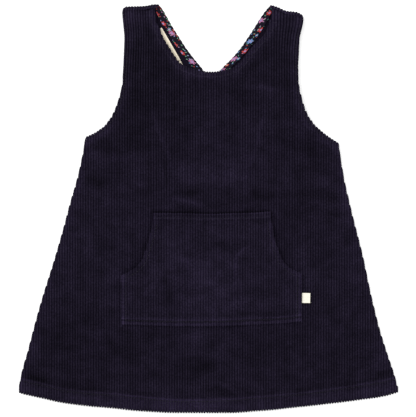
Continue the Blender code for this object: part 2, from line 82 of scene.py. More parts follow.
HALF_HEM = 230.2
HEM = table(
    "x y",
    (-HALF_HEM, -223.9), (-204.2, -229.8), (-160.5, -238.1), (-116.7, -242.3), (-73.0, -246.4),
    (-29.2, -247.9), (14.5, -248.0), (58.3, -245.9), (102.0, -241.8), (145.7, -237.0),
    (189.5, -231.4), (211.3, -228.2), (HALF_HEM, -223.0),
)
HEM_TURNS = table(
    "x depth",
    (-205.0, 17.8), (-160.0, 16.9), (-117.0, 17.6), (-59.0, 16.6), (-30.0, 15.5), (0.0, 15.9),
    (58.0, 17.3), (116.0, 17.1), (160.0, 17.8), (204.0, 19.3),
)
HEM_BULK = 0.7            # how much higher the cloth lies where the hem is turned up
UNDERARM_LEFT = (-149.5, 86.5)
UNDERARM_RIGHT = (158.3, 79.2)
NECK_LEFT = -65.3
NECK_RIGHT = 76.3
FLAP_LEFT = 5.0           # how far a strap reaches down the front from its fold
FLAP_RIGHT = 4.2
SLANT_LEFT = 0.85         # how the flaps' neck edges lean out to meet the front's
SLANT_RIGHT = 0.25

SIDE_SEAMS = table(
    "y left right",
    (-216.1, -HALF_HEM, HALF_HEM - 0.8), (-204.0, -228.1, 226.4), (-174.8, -220.1, 216.7),
    (-116.5, -204.4, 200.3), (-58.1, -186.3, 187.7), (9.9, -167.4, 170.8), (58.5, -154.5, 161.1),
)
ARMHOLES = table(
    "y left right",
    (97.4, -130.0, 133.2), (107.1, -121.0, 124.6), (116.8, -115.1, 119.0), (126.6, -111.2, 115.3),
    (136.3, -108.1, 112.7), (146.0, -105.7, 110.5), (160.6, -104.2, 109.1),
)
WALL_LEFT = ARMHOLES[-1].left     # above an armhole, its edge runs straight up as a wall
WALL_RIGHT = ARMHOLES[-1].right
STRAP_LEAN = table(
    "y left right",
    (160.6, 0.0, 0.0), (180.0, 1.1, -0.3), (204.3, 2.1, 1.1), (219.0, 1.6, 4.3), (228.6, 0.2, 5.9),
    (242.0, -0.8, 6.3),
)
NECK = table(
    "x y",
    (-64.8, 236.3), (-62.9, 225.6), (-59.5, 219.5), (-55.8, 209.7), (-47.0, 194.8), (-40.9, 185.0),
    (-31.5, 174.8), (-18.5, 169.4), (-4.6, 166.2), (4.2, 165.7), (16.3, 167.6), (26.8, 170.0),
    (35.9, 175.6), (43.5, 184.1), (51.2, 193.8), (60.3, 204.2), (69.3, 214.6), (74.1, 229.1),
)
FOLD_LEFT = table(
    "x y",
    (-104.8, 240.4), (-102.9, 243.3), (-99.5, 244.9), (-84.0, 245.3), (-74.0, 246.0), (-66.0, 247.5),
    (-60.0, 247.6),
)
FOLD_RIGHT = table(
    "x y",
    (75.0, 247.3), (85.5, 243.7), (96.0, 239.5), (104.0, 238.7), (111.8, 236.3), (115.2, 232.5),
)
BACK_TOP = table(
    "x y",
    UNDERARM_LEFT, (-110.0, 70.0), (-76.0, 60.0), (76.0, 60.0), (115.0, 66.0), UNDERARM_RIGHT,
)
STRAP_EDGES_LEFT = table(
    "y outer neck",
    (60.0, 10.5, 64.2), (170.3, -61.8, -8.2), (184.9, -72.4, -19.9), (209.2, -88.6, -36.6),
    (234.7, -103.4, -51.9), (241.0, -105.2, -55.4), (248.4, -106.0, -60.0),
)
STRAP_EDGES_RIGHT = table(
    "y outer neck",
    (60.0, -14.6, -65.6), (170.3, 68.0, 16.8), (184.9, 82.3, 30.9), (209.2, 100.0, 48.9),
    (232.5, 114.6, 63.9), (241.0, 116.2, 69.9), (248.4, 117.0, 76.0),
)
LIFT = 2.9                # of the right strap, where it crosses over the left one
LIFT_LEVELS = table("y rise", (62.0, 0.0), (82.0, LIFT), (172.0, LIFT), (215.0, 0.0))
FACING_WIDTH = 10.3
FACING_INSET = 0.4        # the corduroy's own edge stands out past the facing
FACING_END = 0.70         # share of a strap's run that its facing covers
FACING_WALL = 0.5

BED_CROSSING = 2.0        # how much higher the front lies over the straps' crossing
CROSSING_X = 3.0
SKIRT_TO_STRAPS = (45.0, 105.0)
CROSSING_RISE = (40.0, 76.0)
CROSSING_FALL = (178.0, 218.0)
CROSSING_SIDE = (46.0, 102.0)
FOLDS = table(
    "x y half_width half_length height",
    (-58.0, -192.0, 26.0, 60.0, 1.5), (44.0, -186.0, 34.0, 62.0, 1.1),
    (-150.0, -150.0, 22.0, 90.0, 1.2), (160.0, -140.0, 24.0, 95.0, 1.3),
    (-40.0, 38.0, 30.0, 26.0, 1.0), (62.0, 34.0, 24.0, 30.0, 0.9), (-122.0, 20.0, 20.0, 55.0, 0.9),
    (130.0, 26.0, 20.0, 60.0, 1.0),
)

POCKET_LEFT = -105.9
POCKET_RIGHT = 113.0
POCKET_BOTTOM = table(
    "x y",
    (POCKET_LEFT, -140.6), (-68.7, -141.8), (-20.1, -142.8), (4.2, -142.6), (28.5, -142.0),
    (52.8, -140.5), (77.1, -139.8), (POCKET_RIGHT, -136.6),
)
POCKET_TOP = table(
    "x y",
    (-67.0, -5.1), (-31.0, -5.4), (0.0, -6.3), (28.0, -5.5), (56.0, -4.7), (75.2, -3.2),
)
HAND_LEFT = table(
    "x y",
    (POCKET_LEFT, -80.8), (-94.8, -75.0), (-84.8, -66.9), (-75.0, -45.2), (-69.4, -24.0),
    (-67.4, -13.5),
)
HAND_RIGHT = table(
    "x y",
    (75.9, -11.0), (78.0, -24.0), (83.8, -47.3), (95.6, -68.3), (104.2, -74.5),
    (POCKET_RIGHT, -78.9),
)
POCKET_BAND = 7.0         # depth of the band turned over at its top
BAND_BULK = 0.8
POCKET_PUFF = 1.4         # how far it stands off the front at its top
PUFF_FROM = (-128.0, -30.0)

# ---- Finer form than the solids have --------------------------------------------------
WALE_PHASES = (0.0, 0.13, 0.36, 0.64, 0.87)         # where points stand across a wale
ROW_STEP = 5.0            # between points up a wale
HIDDEN_STEP = 36.0        # the same on a plain, hidden side
EDGE_LEVELS = (0.15, 0.45, 0.9, 1.5, 2.6)           # points close to a panel's ends
CREASE_LEVELS = (-1.5, -0.75, 0.0, 0.75, 1.5)       # points across a crease, in its widths
STEEPEST = 1.6            # creases steeper than this are followed by the wales' own points
MIN_STEP = 0.1            # least distance between two points of a column
COLUMN_CLEARANCE = 0.2    # between a corner and the next column
GRID_REACH = 260.0        # half of the length that the rows of points cover
CURVE_STEPS = 25          # points to each span of a curve
PATH_POINTS = 160         # along an edge
NECK_POINTS = 400
WALL_POINTS = 40          # up a straight edge
PATH_STEP = 0.5           # between the points from which a distance is measured
OFFSET_STEP = 1.0         # between the points of a path moved sideways
SLOPE_REACH = 0.5         # to each side of a point at which an edge's slope is taken
WALE_ROUNDNESS = 0.62     # power of a sine: below 1 it gives round crests and sharp valleys
CREASE_REACH = 3          # how far a crease is felt, in its widths
CREASE_FADE = 0.3         # share of a crease over which each of its ends fades
WALL_MARGIN = 0.5         # places this close to a wall have no wale end of their own
WALL_STEP = 1.2           # least height of a wall over the edge beside it
EDGE_ROUND = 1.4          # how far in from an edge the cloth starts to roll over
FRONT_TUCK = 0.22         # how far the inner side's rim is drawn in, in walls
TUCK = 0.2                # the same on the back and the pocket
SCALLOP = 0.55            # how far a wale's end stands out of an edge
HEM_SCALLOP = 0.85        # the same at the hem, where the wales fold under
END_REACH = 0.4           # as SLOPE_REACH, for the wales' ends
STEEPEST_END = 4.0        # slope of an edge past which its wales' ends reach no further
MEAN_RIB = 0.73           # mean height of a wale, with its crest at 1
FOLD_SCALLOP = 1.0        # how much further a crest reaches than a valley over a fold
UNDER_RELIEF = 0.5        # depth of the valleys on the sides that rest on the floor
LEAST_WALL = 0.75         # the cloth's thickness at the bottom of a trough
DEEPEST = 0.25            # how far the cloth's inner side may dip

# Seams: a lifted band, a stitched groove at its end, by distance in from the edge.
SEAM_LINES = table(
    "name inset bulk",
    ("neck", 6.3, 0.45), ("armhole", 3.6, 0.30),
)
HEM_SEWN = 1.9            # below the turned-up hem's upper edge
HEM_SOFTNESS = 1.6        # over which the hem's bulk fades
SEAM_SOFTNESS = 1.2       # over which another seam's bulk fades
POCKET_STITCH = 5.6       # in from the pocket's sewn edges
POCKET_EDGE_BULK = 0.35   # of the seam allowance, inside the stitches
POCKET_ALLOWANCE = 7.0    # how far in the seam allowance reaches
BAND_STITCH = 1.0         # above the top band's lower edge
GROOVE_DEPTH = 0.5
GROOVE_WIDTH = 0.9
UNDER_GROOVE = 0.5        # share of a groove's depth that shows underneath

# Extra points of a column, by distance up from the edge or seam that they follow.
HEM_LEVELS = (-3.6, -2.7, -1.9, -1.1, -0.2, 0.7, 1.7)
NECK_LEVELS = (-3.9, -4.7, -5.4, -6.3, -7.2, -8.1)
ARMHOLE_LEVELS = (-2.8, -3.6, -4.4)
TAG_LEVELS = (-1.6, -0.7, 0.2, 1.2)
TAG_REACH = 1.5           # how far past the tag its columns have these points
OVER_POCKET_LEVELS = (-0.6, 0.4, 1.2, 2.2, 3.4)
UNDER_POCKET_LEVELS = (0.6, -0.4, -1.2, -2.2, -3.4)
POCKET_BOTTOM_LEVELS = (3.8, 4.6, 5.4, 6.2, 7.0, 7.9, 8.8)
POCKET_BAND_LEVELS = (-3.6, -5.2, -6.0, -6.8, -7.6, -8.6)
POCKET_HAND_LEVELS = (-2.2, -4.6, -5.6, -6.6)

# Painted light (+) and painted shade (-) along the seams, by distance in from the edge: lighter on
# raised bands and rolled edges, darker in stitched grooves and gaps; partly the nap worn along the
# seams.
SEAM_TONES = table(
    "seam at width tone",
    ("neck", 2.0, 3.0, 0.44), ("neck", 6.0, 1.8, 0.48), ("neck", 9.5, 3.5, 0.24),
    ("armhole", 0.5, 1.2, 0.20), ("armhole", 3.6, 0.8, -0.14), ("armhole", 6.0, 5.0, 0.32),
    ("side", 1.5, 9.0, 0.27),
    ("shoulder", 0.2, 1.0, -0.10),
    ("hem", 0.2, 1.6, -0.04), ("hem", 7.5, 7.0, 0.40),
    ("hem turn", -0.1, 1.5, 0.53), ("hem turn", 3.4, 2.2, -0.20),
    # Painted shadow beside the pocket's top edge and round the side tag; the rows beside the pocket's
    # other edges lighten or deepen the shade cast there.
    ("beside top", 0.5, 1.7, -0.78),
    ("beside sides", 0.6, 1.6, 0.34),
    ("beside hand", 0.8, 1.8, 0.06),
    ("beside bottom", 0.6, 1.4, 0.16),
    ("beside tag", 0.6, 1.0, -1.00),
    ("pocket sides", 2.0, 2.4, 0.46), ("pocket sides", 6.4, 1.0, 0.30),
    ("pocket bottom", 1.9, 2.2, 0.38), ("pocket bottom", 5.4, 0.8, -0.44),
    ("pocket bottom", 7.7, 1.0, 0.54), ("pocket bottom", 12.8, 2.4, -0.14),
    ("pocket hand", 0.4, 1.2, 0.06), ("pocket hand", 3.8, 3.4, 0.20),
    ("pocket hand", 5.4, 0.8, -0.12),
    ("pocket top", 0.8, 1.2, 0.22), ("pocket top", 2.9, 0.8, -0.30), ("pocket top", 6.3, 1.2, 0.40),
    ("pocket top", 8.8, 1.4, -0.14),
)

# Creases: long soft ridges (+) and troughs (-), each along a path of a few points.
# A crease's tone is painted light and shade, lighter on most ridges and darker in most troughs, partly
# the nap turning with the cloth.
FRONT_CREASES = table(
    "width height tone path",
    (2.6, 0.34, 0.32, ((-68, 141), (-68, 119), (-62, 98), (-56, 82), (-48, 66), (-44, 48), (-43, 30))),
    (2.2, -0.36, -0.36, ((-54, 66), (-52, 48), (-51, 32), (-50, 14))),
    (3.0, -0.20, -0.24, ((-41, 134), (-42, 112), (-42, 92))),
    (2.8, 0.38, 0.32, ((72, 136), (67, 110), (62, 95), (56, 66), (48, 51), (45, 36), (47, 16))),
    (4.0, 0.40, 0.20, ((2, 142), (-28, 124), (-60, 101))),
    (4.0, 0.45, 0.22, ((16, 140), (38, 124), (64, 109))),
    (3.2, 0.50, 0.34, ((40, 147), (64, 147), (92, 143))),
    (4.5, 0.50, 0.28, ((78, 107), (104, 103), (136, 99))),
    (5.5, -0.50, -0.24, ((80, 80), (114, 71), (150, 64))),
    (5.0, -0.40, -0.20, ((-148, 80), (-112, 84), (-74, 92))),
    (4.0, 0.45, 0.08, ((-146, 64), (-120, 60), (-84, 64))),
    (5.0, -0.60, -0.28, ((-154, 40), (-134, 32), (-112, 34))),
    (4.0, 0.34, 0.04, ((-118, 26), (-96, 30), (-66, 27))),
    (3.5, 0.34, 0.18, ((-172, -30), (-156, -34), (-138, -33))),
    (4.0, 0.40, 0.22, ((84, 28), (98, 27), (112, 23))),
    (5.0, -0.45, -0.22, ((94, 20), (130, 17), (168, 11))),
    (3.0, 0.40, 0.20, ((108, 9), (142, 3), (174, 4))),
    (2.6, -0.50, -0.30, ((138, -4), (156, -8), (176, -7))),
    (7.0, 0.55, 0.10, ((-46, 56), (0, 52), (44, 57))),
    (6.0, 0.40, 0.14, ((-42, 36), (4, 33), (46, 38))),
    (3.6, -0.65, -0.34, ((-46, 22), (-28, 17), (-8, 21))),
    (2.6, 0.60, 0.36, ((-60, 13), (-34, 11), (-14, 6), (4, 1))),
    (3.0, -0.60, -0.30, ((-44, 4), (-28, 0), (-12, -3))),
    (2.6, 0.45, 0.28, ((34, 1), (50, 5), (66, 5))),
    (4.0, -0.55, -0.30, ((48, 20), (66, 14), (84, 18))),
    (3.2, 0.40, 0.26, ((178, -62), (184, -104), (164, -138), (140, -186))),
    (3.2, -0.40, -0.22, ((-142, -94), (-130, -138), (-112, -186))),
    (8.0, 0.50, 0.14, ((-18, -146), (-19, -162), (-14, -180))),
    (7.5, -0.75, -0.26, ((-40, -189), (-16, -193), (16, -187))),
    (3.0, 0.60, 0.34, ((-2, -210), (18, -214), (34, -222))),
    (4.5, -0.55, -0.26, ((-8, -219), (16, -223), (38, -229))),
    (4.0, -0.80, -0.44, ((-226, -200), (-208, -207), (-190, -211))),
    (4.0, 0.50, 0.20, ((-214, -190), (-192, -199), (-168, -203))),
    (3.4, -0.75, -0.44, ((200, -203), (214, -200), (226, -196))),
    (4.5, 0.45, 0.18, ((176, -204), (196, -192), (212, -184))),
    (6.0, -0.34, -0.16, ((-176, -120), (-184, -160), (-190, -196))),
    (6.0, 0.34, 0.14, ((96, -168), (118, -196), (124, -224))),
)
POCKET_CREASES = table(
    "width height tone path",
    (2.8, 0.65, 0.44, ((60, -39), (44, -48), (34, -58), (33, -76), (36, -90))),
    (3.2, -0.40, -0.30, ((42, -62), (40, -78), (42, -94))),
    (3.4, 0.65, 0.34, ((-84, -108), (-67, -94), (-53, -76))),
    (4.5, -0.40, -0.22, ((-55, -82), (-48, -98), (-44, -118))),
    (3.0, -0.50, -0.26, ((26, -123), (40, -126), (54, -128))),
    (5.0, 0.45, 0.16, ((-10, -84), (6, -92), (26, -112))),
    (4.0, 0.45, 0.18, ((84, -86), (96, -97), (104, -110))),
    (4.0, 0.40, 0.14, ((-98, -92), (-95, -108), (-92, -124))),
    (3.0, 0.40, 0.24, ((72, -28), (75, -36), (82, -46))),
    (5.5, -0.40, -0.22, ((-14, -41), (6, -46), (28, -44))),
    (4.0, 0.34, 0.20, ((-48, -60), (-31, -62), (-2, -67), (18, -60))),
)
BACK_CREASES = table(
    "width height tone path",
    (8.0, 0.35, 0.20, ((-120, 40), (-92, 30), (-60, 24))),
    (8.0, 0.35, 0.20, ((130, 30), (104, 28), (76, 20))),
    (11.0, 0.40, 0.18, ((-30, 10), (2, -2), (34, -8))),
    (11.0, 0.40, 0.18, ((-150, -90), (-138, -140), (-120, -190))),
    (11.0, 0.40, -0.18, ((140, -70), (130, -120), (126, -180))),
    (12.0, 0.40, 0.18, ((-50, -120), (-40, -160), (-36, -210))),
    (11.0, 0.40, -0.18, ((40, -140), (50, -180), (66, -214))),
)

VALLEY_TONE = 0.9         # how much more of a tone the valleys take than the crests

# Broad patches painted lighter (+) or darker (-): painted light and shade over the cloth's soft folds
# and hollows, partly the nap's own lie.
FRONT_PATCHES = table(
    "x y half_width half_height turn tone",
    (-95, 234, 12, 12, 0, 0.30), (109, 232, 8, 10, 0, 0.24), (-84, 220, 14, 12, 0, 0.16),
    (-88, 186, 28, 36, 0, -0.28), (-67, 174, 9, 12, 0, -0.24), (-70, 160, 9, 32, 0, -0.14),
    (-36, 120, 9, 20, 0, -0.17), (15, 105, 8, 7, 0, -0.22), (14, 156, 8, 8, 0, -0.16),
    (-98, 92, 13, 20, 0, -0.14), (50, 190, 11, 11, 0, -0.14), (167, 40, 8, 36, 0, 0.20),
    (-156, 22, 9, 20, 0, 0.18), (-86, 19, 17, 8, 0, -0.22), (54, 2, 12, 7, 0, -0.12),
    (-130, -126, 13, 16, 0, -0.18), (-172, -214, 26, 20, 0, -0.24), (192, -160, 12, 13, 0, -0.22),
    (143, -201, 12, 10, 0, -0.20), (84, -203, 20, 9, 0, 0.16), (74, -236, 24, 9, 0, -0.18),
    (-88, 130, 32, 24, 0, -0.16), (-50, 138, 40, 56, 10, -0.34), (-82, 120, 9, 26, 0, -0.16),
    (56, 170, 22, 26, -20, -0.26), (44, 134, 18, 14, -25, -0.26), (88, 196, 18, 36, 0, -0.26),
    (92, 131, 13, 34, 0, -0.20), (10, 106, 30, 26, 0, 0.16), (-12, 80, 15, 5, 0, 0.20),
    (-2, 42, 50, 13, 0, 0.28), (-20, 105, 16, 12, 0, 0.20), (33, 156, 13, 18, 0, -0.18),
    (48, 121, 13, 10, 0, -0.20), (-79, -14, 14, 12, 0, 0.18), (-88, -167, 14, 22, 0, -0.22),
    (166, 70, 8, 8, 0, 0.40), (-22, 172, 12, 9, 0, -0.18), (-68, -234, 30, 9, 0, 0.12),
    (99, -178, 10, 12, 0, -0.16), (36, -62, 10, 12, 0, 0.10), (46, 54, 18, 30, 0, 0.22),
    (-27, 22, 22, 7, 0, -0.22), (-62, 32, 18, 12, 0, -0.20), (66, 15, 16, 9, 0, -0.34),
    (84, 30, 14, 14, 0, 0.18), (-105, 75, 34, 13, 8, -0.40), (-97, 62, 28, 6, 0, 0.20),
    (-139, 65, 7, 5, 0, 0.30), (-139, 35, 15, 9, 0, -0.26), (-95, 29, 24, 7, 0, 0.16),
    (104, 76, 20, 10, -10, -0.30), (134, 54, 14, 12, 0, -0.24), (142, 34, 14, 12, 0, 0.10),
    (112, 2, 22, 30, 0, -0.16), (-46, -6, 18, 12, 0, 0.14), (-115, -70, 28, 36, 0, 0.16),
    (-178, -160, 22, 50, -12, -0.20), (-108, -172, 20, 30, 0, -0.18), (168, -62, 14, 32, 12, 0.16),
    (110, -84, 18, 22, 0, 0.14), (207, -186, 12, 22, 14, 0.28), (166, -164, 12, 20, 10, -0.32),
    (116, -172, 16, 18, 0, -0.24), (-18, -160, 12, 18, 0, 0.26), (-12, -192, 29, 9, 0, -0.30),
    (58, -178, 34, 13, 0, -0.14), (-208, -206, 18, 7, -25, -0.24), (212, -200, 13, 5, 18, -0.24),
    (6, -238, 46, 11, 0, 0.22),
)
# Patches where the painted shade in the wales' valleys is made lighter (+) or deeper (-).
FRONT_VALLEY_LIGHT = table(
    "x y half_width half_height turn tone",
    (-50, -237, 62, 9, 0, 0.9), (-140, -232, 40, 9, 0, 0.35), (-86, 196, 22, 46, 0, -0.55),
    (92, 190, 20, 44, 0, -0.30), (4, -214, 44, 14, 0, -0.35), (4, 160, 40, 6, 0, 0.25),
)
# Patches on the pocket painted lighter (+) or darker (-): painted light and shade over its folds, thin
# painted shade lines along the stitching and under the top band, partly the nap's lie.
POCKET_PATCHES = table(
    "x y half_width half_height turn tone",
    (0, -75, 130, 90, 0, 0.14), (-42, -36, 34, 36, 0, 0.14), (-18, -76, 10, 16, 0, 0.16),
    (34, -76, 14, 14, 0, 0.12), (50, -130, 10, 8, 0, -0.16), (-18, -98, 36, 42, 0, 0.26),
    (-31, -61, 6, 5, 0, 0.16), (16, -123, 24, 14, 0, 0.26), (8, -45, 22, 7, 0, -0.20),
    (56, -38, 12, 16, 0, -0.16), (37, -88, 13, 13, 0, 0.22), (100, -82, 9, 9, 0, 0.20),
    (-51, -99, 8, 18, 0, -0.24), (64, -105, 13, 9, 0, -0.20), (62, -14, 9, 3, 0, -0.24),
    (-78, -136.3, 24, 1.0, -1.7, -0.35), (72, -134.6, 26, 1.0, 3.5, -0.30),
    (5, -8.3, 13, 0.8, 0, -0.50), (53, -14, 5, 5, 0, -0.24), (56, -47, 26, 4, 0, -0.20),
)

TAPES = table(
    "name x y angle length width base curl",
    ("neck_label", -56.9, 220.1, -59.9, 45.2, 14.0, WALL + SEAM_GAP, 0.35),
    ("care_label", -34.4, 180.3, -59.9, 10.0, 10.0, WALL + SEAM_GAP, 0.2),
    ("side_tag", 123.4, -102.45, -90.9, 12.1, 10.0, BED_SKIRT + WALL + WALE_HEIGHT + SEAM_GAP, 0.9),
)


# ---- Curves through the tables --------------------------------------------------------
def curve_through(points):
    """Return a smooth function through points in order of x, with no overshoot."""
    xs, ys = (np.array(column, float) for column in zip(*sorted(points)))
    chords = np.diff(ys) / np.diff(xs)
    slopes = np.zeros(len(xs))
    slopes[0], slopes[-1] = chords[0], chords[-1]
    product = chords[:-1] * chords[1:]
    total = np.where(product > 0, chords[:-1] + chords[1:], 1.0)
    slopes[1:-1] = np.where(product > 0, 2 * product / total, 0.0)
    fine = np.unique(np.concatenate([np.linspace(a, b, CURVE_STEPS) for a, b in zip(xs, xs[1:])]))
    span = np.clip(np.searchsorted(xs, fine, "right") - 1, 0, len(chords) - 1)
    t = (fine - xs[span]) / (xs[span + 1] - xs[span])
    start = ys[span] + (fine - xs[span]) * slopes[span]
    end = ys[span + 1] - (xs[span + 1] - fine) * slopes[span + 1]
    blend = t * t * (3 - 2 * t)
    values = start * (1 - blend) + end * blend
    return lambda x: np.interp(x, fine, values)


def curve_of(rows, key="x", value="y", *ends):
    """Return a smooth function through two columns of a table, and any points past its ends."""
    return curve_through([(getattr(row, key), getattr(row, value)) for row in rows] + [*ends])


side_left = curve_of(SIDE_SEAMS, "left", "y", UNDERARM_LEFT)
side_right = curve_of(SIDE_SEAMS, "right", "y", UNDERARM_RIGHT)
arm_left = curve_of(ARMHOLES, "left", "y", UNDERARM_LEFT)
arm_right = curve_of(ARMHOLES, "right", "y", UNDERARM_RIGHT)
hem_edge = curve_of(HEM)
hem_turn = curve_of(HEM_TURNS, "x", "depth")
neck_edge = curve_of(NECK)
fold_left = curve_of(FOLD_LEFT)
fold_right = curve_of(FOLD_RIGHT)
back_top_edge = curve_of(BACK_TOP)
lean_left = curve_of(STRAP_LEAN, "y", "left")
lean_right = curve_of(STRAP_LEAN, "y", "right")
lift_curve = curve_of(LIFT_LEVELS, "y", "rise")
hand_left = curve_of(HAND_LEFT)
hand_right = curve_of(HAND_RIGHT)
pocket_top_edge = curve_of(POCKET_TOP)
pocket_bottom_edge = curve_of(POCKET_BOTTOM)


def smooth_step(value, low, high):
    t = np.clip((value - low) / (high - low), 0.0, 1.0)
    return t * t * (3 - 2 * t)


def lean_share(x):
    """How much of its strap's lean a wale takes: all at the armhole, none at the neck."""
    left = (NECK_LEFT - x) / (NECK_LEFT - WALL_LEFT)
    right = (x - NECK_RIGHT) / (WALL_RIGHT - NECK_RIGHT)
    return np.clip(np.where(x < 0, left, right), 0.0, 1.0)


def lean(x, y):
    """How far a wale is carried sideways as it fans out up the front's straps."""
    return np.where(x < 0, lean_left(y), lean_right(y)) * lean_share(x)


def front_top(x):
    """Height at which the front ends, above a point of its hem."""
    share = lean_share(x)
    shoulder_l = fold_left(x + STRAP_LEAN[-1].left * share) - FLAP_LEFT - SHOULDER_GAP
    shoulder_r = fold_right(x + STRAP_LEAN[-1].right * share) - FLAP_RIGHT - SHOULDER_GAP
    runs = [x < UNDERARM_LEFT[0], x < WALL_LEFT, x <= NECK_LEFT, x < NECK_RIGHT,
            x <= WALL_RIGHT, x < UNDERARM_RIGHT[0]]
    heights = [side_left(x), arm_left(x), shoulder_l, neck_edge(x), shoulder_r, arm_right(x)]
    return np.select(runs, heights, side_right(x))


def back_top(x):
    runs = [x < UNDERARM_LEFT[0], x > UNDERARM_RIGHT[0]]
    return np.select(runs, [side_left(x), side_right(x)], back_top_edge(x))


def pocket_top(x):
    runs = [x < POCKET_TOP[0].x, x > POCKET_TOP[-1].x]
    return np.select(runs, [hand_left(x), hand_right(x)], pocket_top_edge(x))


# ---- Heights of the cloth -------------------------------------------------------------
def wale_profile(count):
    """Height across the wales, from 0 in a valley to 1 on a crest: round, with sharp valleys."""
    return np.abs(np.sin(np.pi * count)) ** WALE_ROUNDNESS


def beside(crease, x, y):
    """How much of a crease is felt at each point: 1 along its middle, fading at its ends."""
    path = np.array(crease.path, float)
    reach = CREASE_REACH * crease.width
    near = ((x > path[:, 0].min() - reach) & (x < path[:, 0].max() + reach)
            & (y > path[:, 1].min() - reach) & (y < path[:, 1].max() + reach))
    px, py = x[near], y[near]
    nearest = np.full(px.shape, np.inf)
    passed = np.zeros(px.shape)
    done = 0.0
    for start, end in zip(path, path[1:]):
        run = end - start
        length = np.hypot(*run)
        share = np.clip(((px - start[0]) * run[0] + (py - start[1]) * run[1]) / length ** 2, 0, 1)
        away = np.hypot(px - start[0] - share * run[0], py - start[1] - share * run[1])
        passed = np.where(away < nearest, done + share * length, passed)
        nearest = np.minimum(away, nearest)
        done += length
    ends = CREASE_FADE * done
    fade = smooth_step(passed, 0, ends) * smooth_step(done - passed, 0, ends)
    felt = np.zeros_like(x)
    felt[near] = fade * np.exp(-(nearest / crease.width) ** 2)
    return felt


def creased(x, y, creases):
    """Heights of a table's ridges and troughs."""
    return sum(crease.height * beside(crease, x, y) for crease in creases)


def crease_levels(x, creases):
    """Extra points that a column needs to follow the creases that cross it."""
    levels = []
    for crease in creases:
        for (x1, y1), (x2, y2) in zip(crease.path, crease.path[1:]):
            slope = abs(y2 - y1) / max(abs(x2 - x1), 0.001)
            if min(x1, x2) <= x <= max(x1, x2) and slope < STEEPEST:
                middle = y1 + (y2 - y1) * (x - x1) / (x2 - x1)
                across = crease.width * math.sqrt(1 + slope ** 2)
                levels += [middle + across * place for place in CREASE_LEVELS]
    return levels


def fold_shade_and_nap(x, y, creases, patches):
    """How light or dark each point is painted, from creases and broad patches: painted light and
    shade, partly the nap's lie.
    """
    tone = sum(crease.tone * beside(crease, x, y) for crease in creases)
    for patch in patches:
        turn = math.radians(patch.turn)
        across = ((x - patch.x) * math.cos(turn) + (y - patch.y) * math.sin(turn))
        up = ((y - patch.y) * math.cos(turn) - (x - patch.x) * math.sin(turn))
        away = (across / patch.half_width) ** 2 + (up / patch.half_height) ** 2
        tone = tone + patch.tone * np.exp(-away)
    return tone


def leaned_tone(tone, rib, valley_light=0.0):
    """The painted tone at each point, light and shade with the nap: it shows most in the valleys and
    least on the crests, and a further tone lightens or deepens the valleys' painted shade.
    """
    return tone + (VALLEY_TONE * tone + valley_light) * (MEAN_RIB - rib)


def seam_tone(seam, distance):
    """Painted light and shade along a seam, partly worn nap, by distance in from its edge."""
    return sum(row.tone * np.exp(-((distance - row.at) / row.width) ** 2)
               for row in SEAM_TONES if row.seam == seam)


def soft_folds(x, y):
    total = np.zeros_like(x)
    for fold in FOLDS:
        across = np.abs(x - fold.x) / fold.half_width
        along = np.abs(y - fold.y) / fold.half_length
        total += fold.height * (1 - smooth_step(across, 0, 1)) * (1 - smooth_step(along, 0, 1))
    return total


def front_bed(x, y):
    """Height of the front's inner side over what lies under it."""
    straps = (BED_STRAPS - BED_SKIRT) * smooth_step(y, *SKIRT_TO_STRAPS)
    crossing = (BED_CROSSING * smooth_step(y, *CROSSING_RISE)
                * (1 - smooth_step(y, *CROSSING_FALL))
                * (1 - smooth_step(np.abs(x - CROSSING_X), *CROSSING_SIDE)))
    return BED_SKIRT + straps + crossing + soft_folds(x, y)


def front_rise(x, y):
    """The front's creases, kept from dipping into what lies under it."""
    return np.maximum(creased(x, y, FRONT_CREASES), -DEEPEST)


def pocket_bed(x, y):
    puff = POCKET_PUFF * smooth_step(y, *PUFF_FROM)
    return front_bed(x, y) + front_rise(x, y) + WALL + WALE_HEIGHT + SEAM_GAP + puff


def groove(distance):
    """A stitched line's trough, by distance from the line."""
    return -GROOVE_DEPTH * np.exp(-(distance / GROOVE_WIDTH) ** 2)


# ---- Paths over the cloth -------------------------------------------------------------
def stacked(*columns):
    """Points, one row each, from their coordinates."""
    return np.stack(columns, axis=1)


def path_over(curve, start, end, count=PATH_POINTS):
    xs = np.linspace(start, end, count)
    return stacked(xs, curve(xs))


def leaned(path):
    """Move a path sideways with the wales."""
    x, y = path[:, 0], path[:, 1]
    return stacked(x + lean(x, y), y)


def along(path, spacing):
    """Points at even steps along a path, with its direction at each."""
    steps = np.hypot(*np.diff(path, axis=0).T)
    run = np.concatenate([[0.0], np.cumsum(steps)])
    count = max(int(run[-1] / spacing), 2)
    places = np.linspace(0, run[-1], count)
    points = stacked(*(np.interp(places, run, path[:, k]) for k in (0, 1)))
    ahead = np.gradient(points, axis=0)
    return points, ahead / np.linalg.norm(ahead, axis=1)[:, None]


def offset_path(path, distance):
    """The path moved sideways, to the right of its direction."""
    points, ahead = along(path, OFFSET_STEP)
    return points + distance * stacked(ahead[:, 1], -ahead[:, 0])


def distance_from(path, x, y):
    """Distance of each point in plan from a path."""
    points, _ = along(path, PATH_STEP)
    tree = kdtree.KDTree(len(points))
    for index, point in enumerate(points):
        tree.insert((point[0], point[1], 0.0), index)
    tree.balance()
    return np.array([tree.find((a, b, 0.0))[2] for a, b in zip(x.tolist(), y.tolist())])


def wall_path(x, low, high):
    return stacked(np.full(WALL_POINTS, x), np.linspace(low, high, WALL_POINTS))


def skirt_paths():
    """The hem and the side seams, which the front and the back share."""
    return {
        "hem": path_over(hem_edge, -HALF_HEM, HALF_HEM),
        "side left": path_over(side_left, -HALF_HEM, UNDERARM_LEFT[0]),
        "side right": path_over(side_right, UNDERARM_RIGHT[0], HALF_HEM),
    }


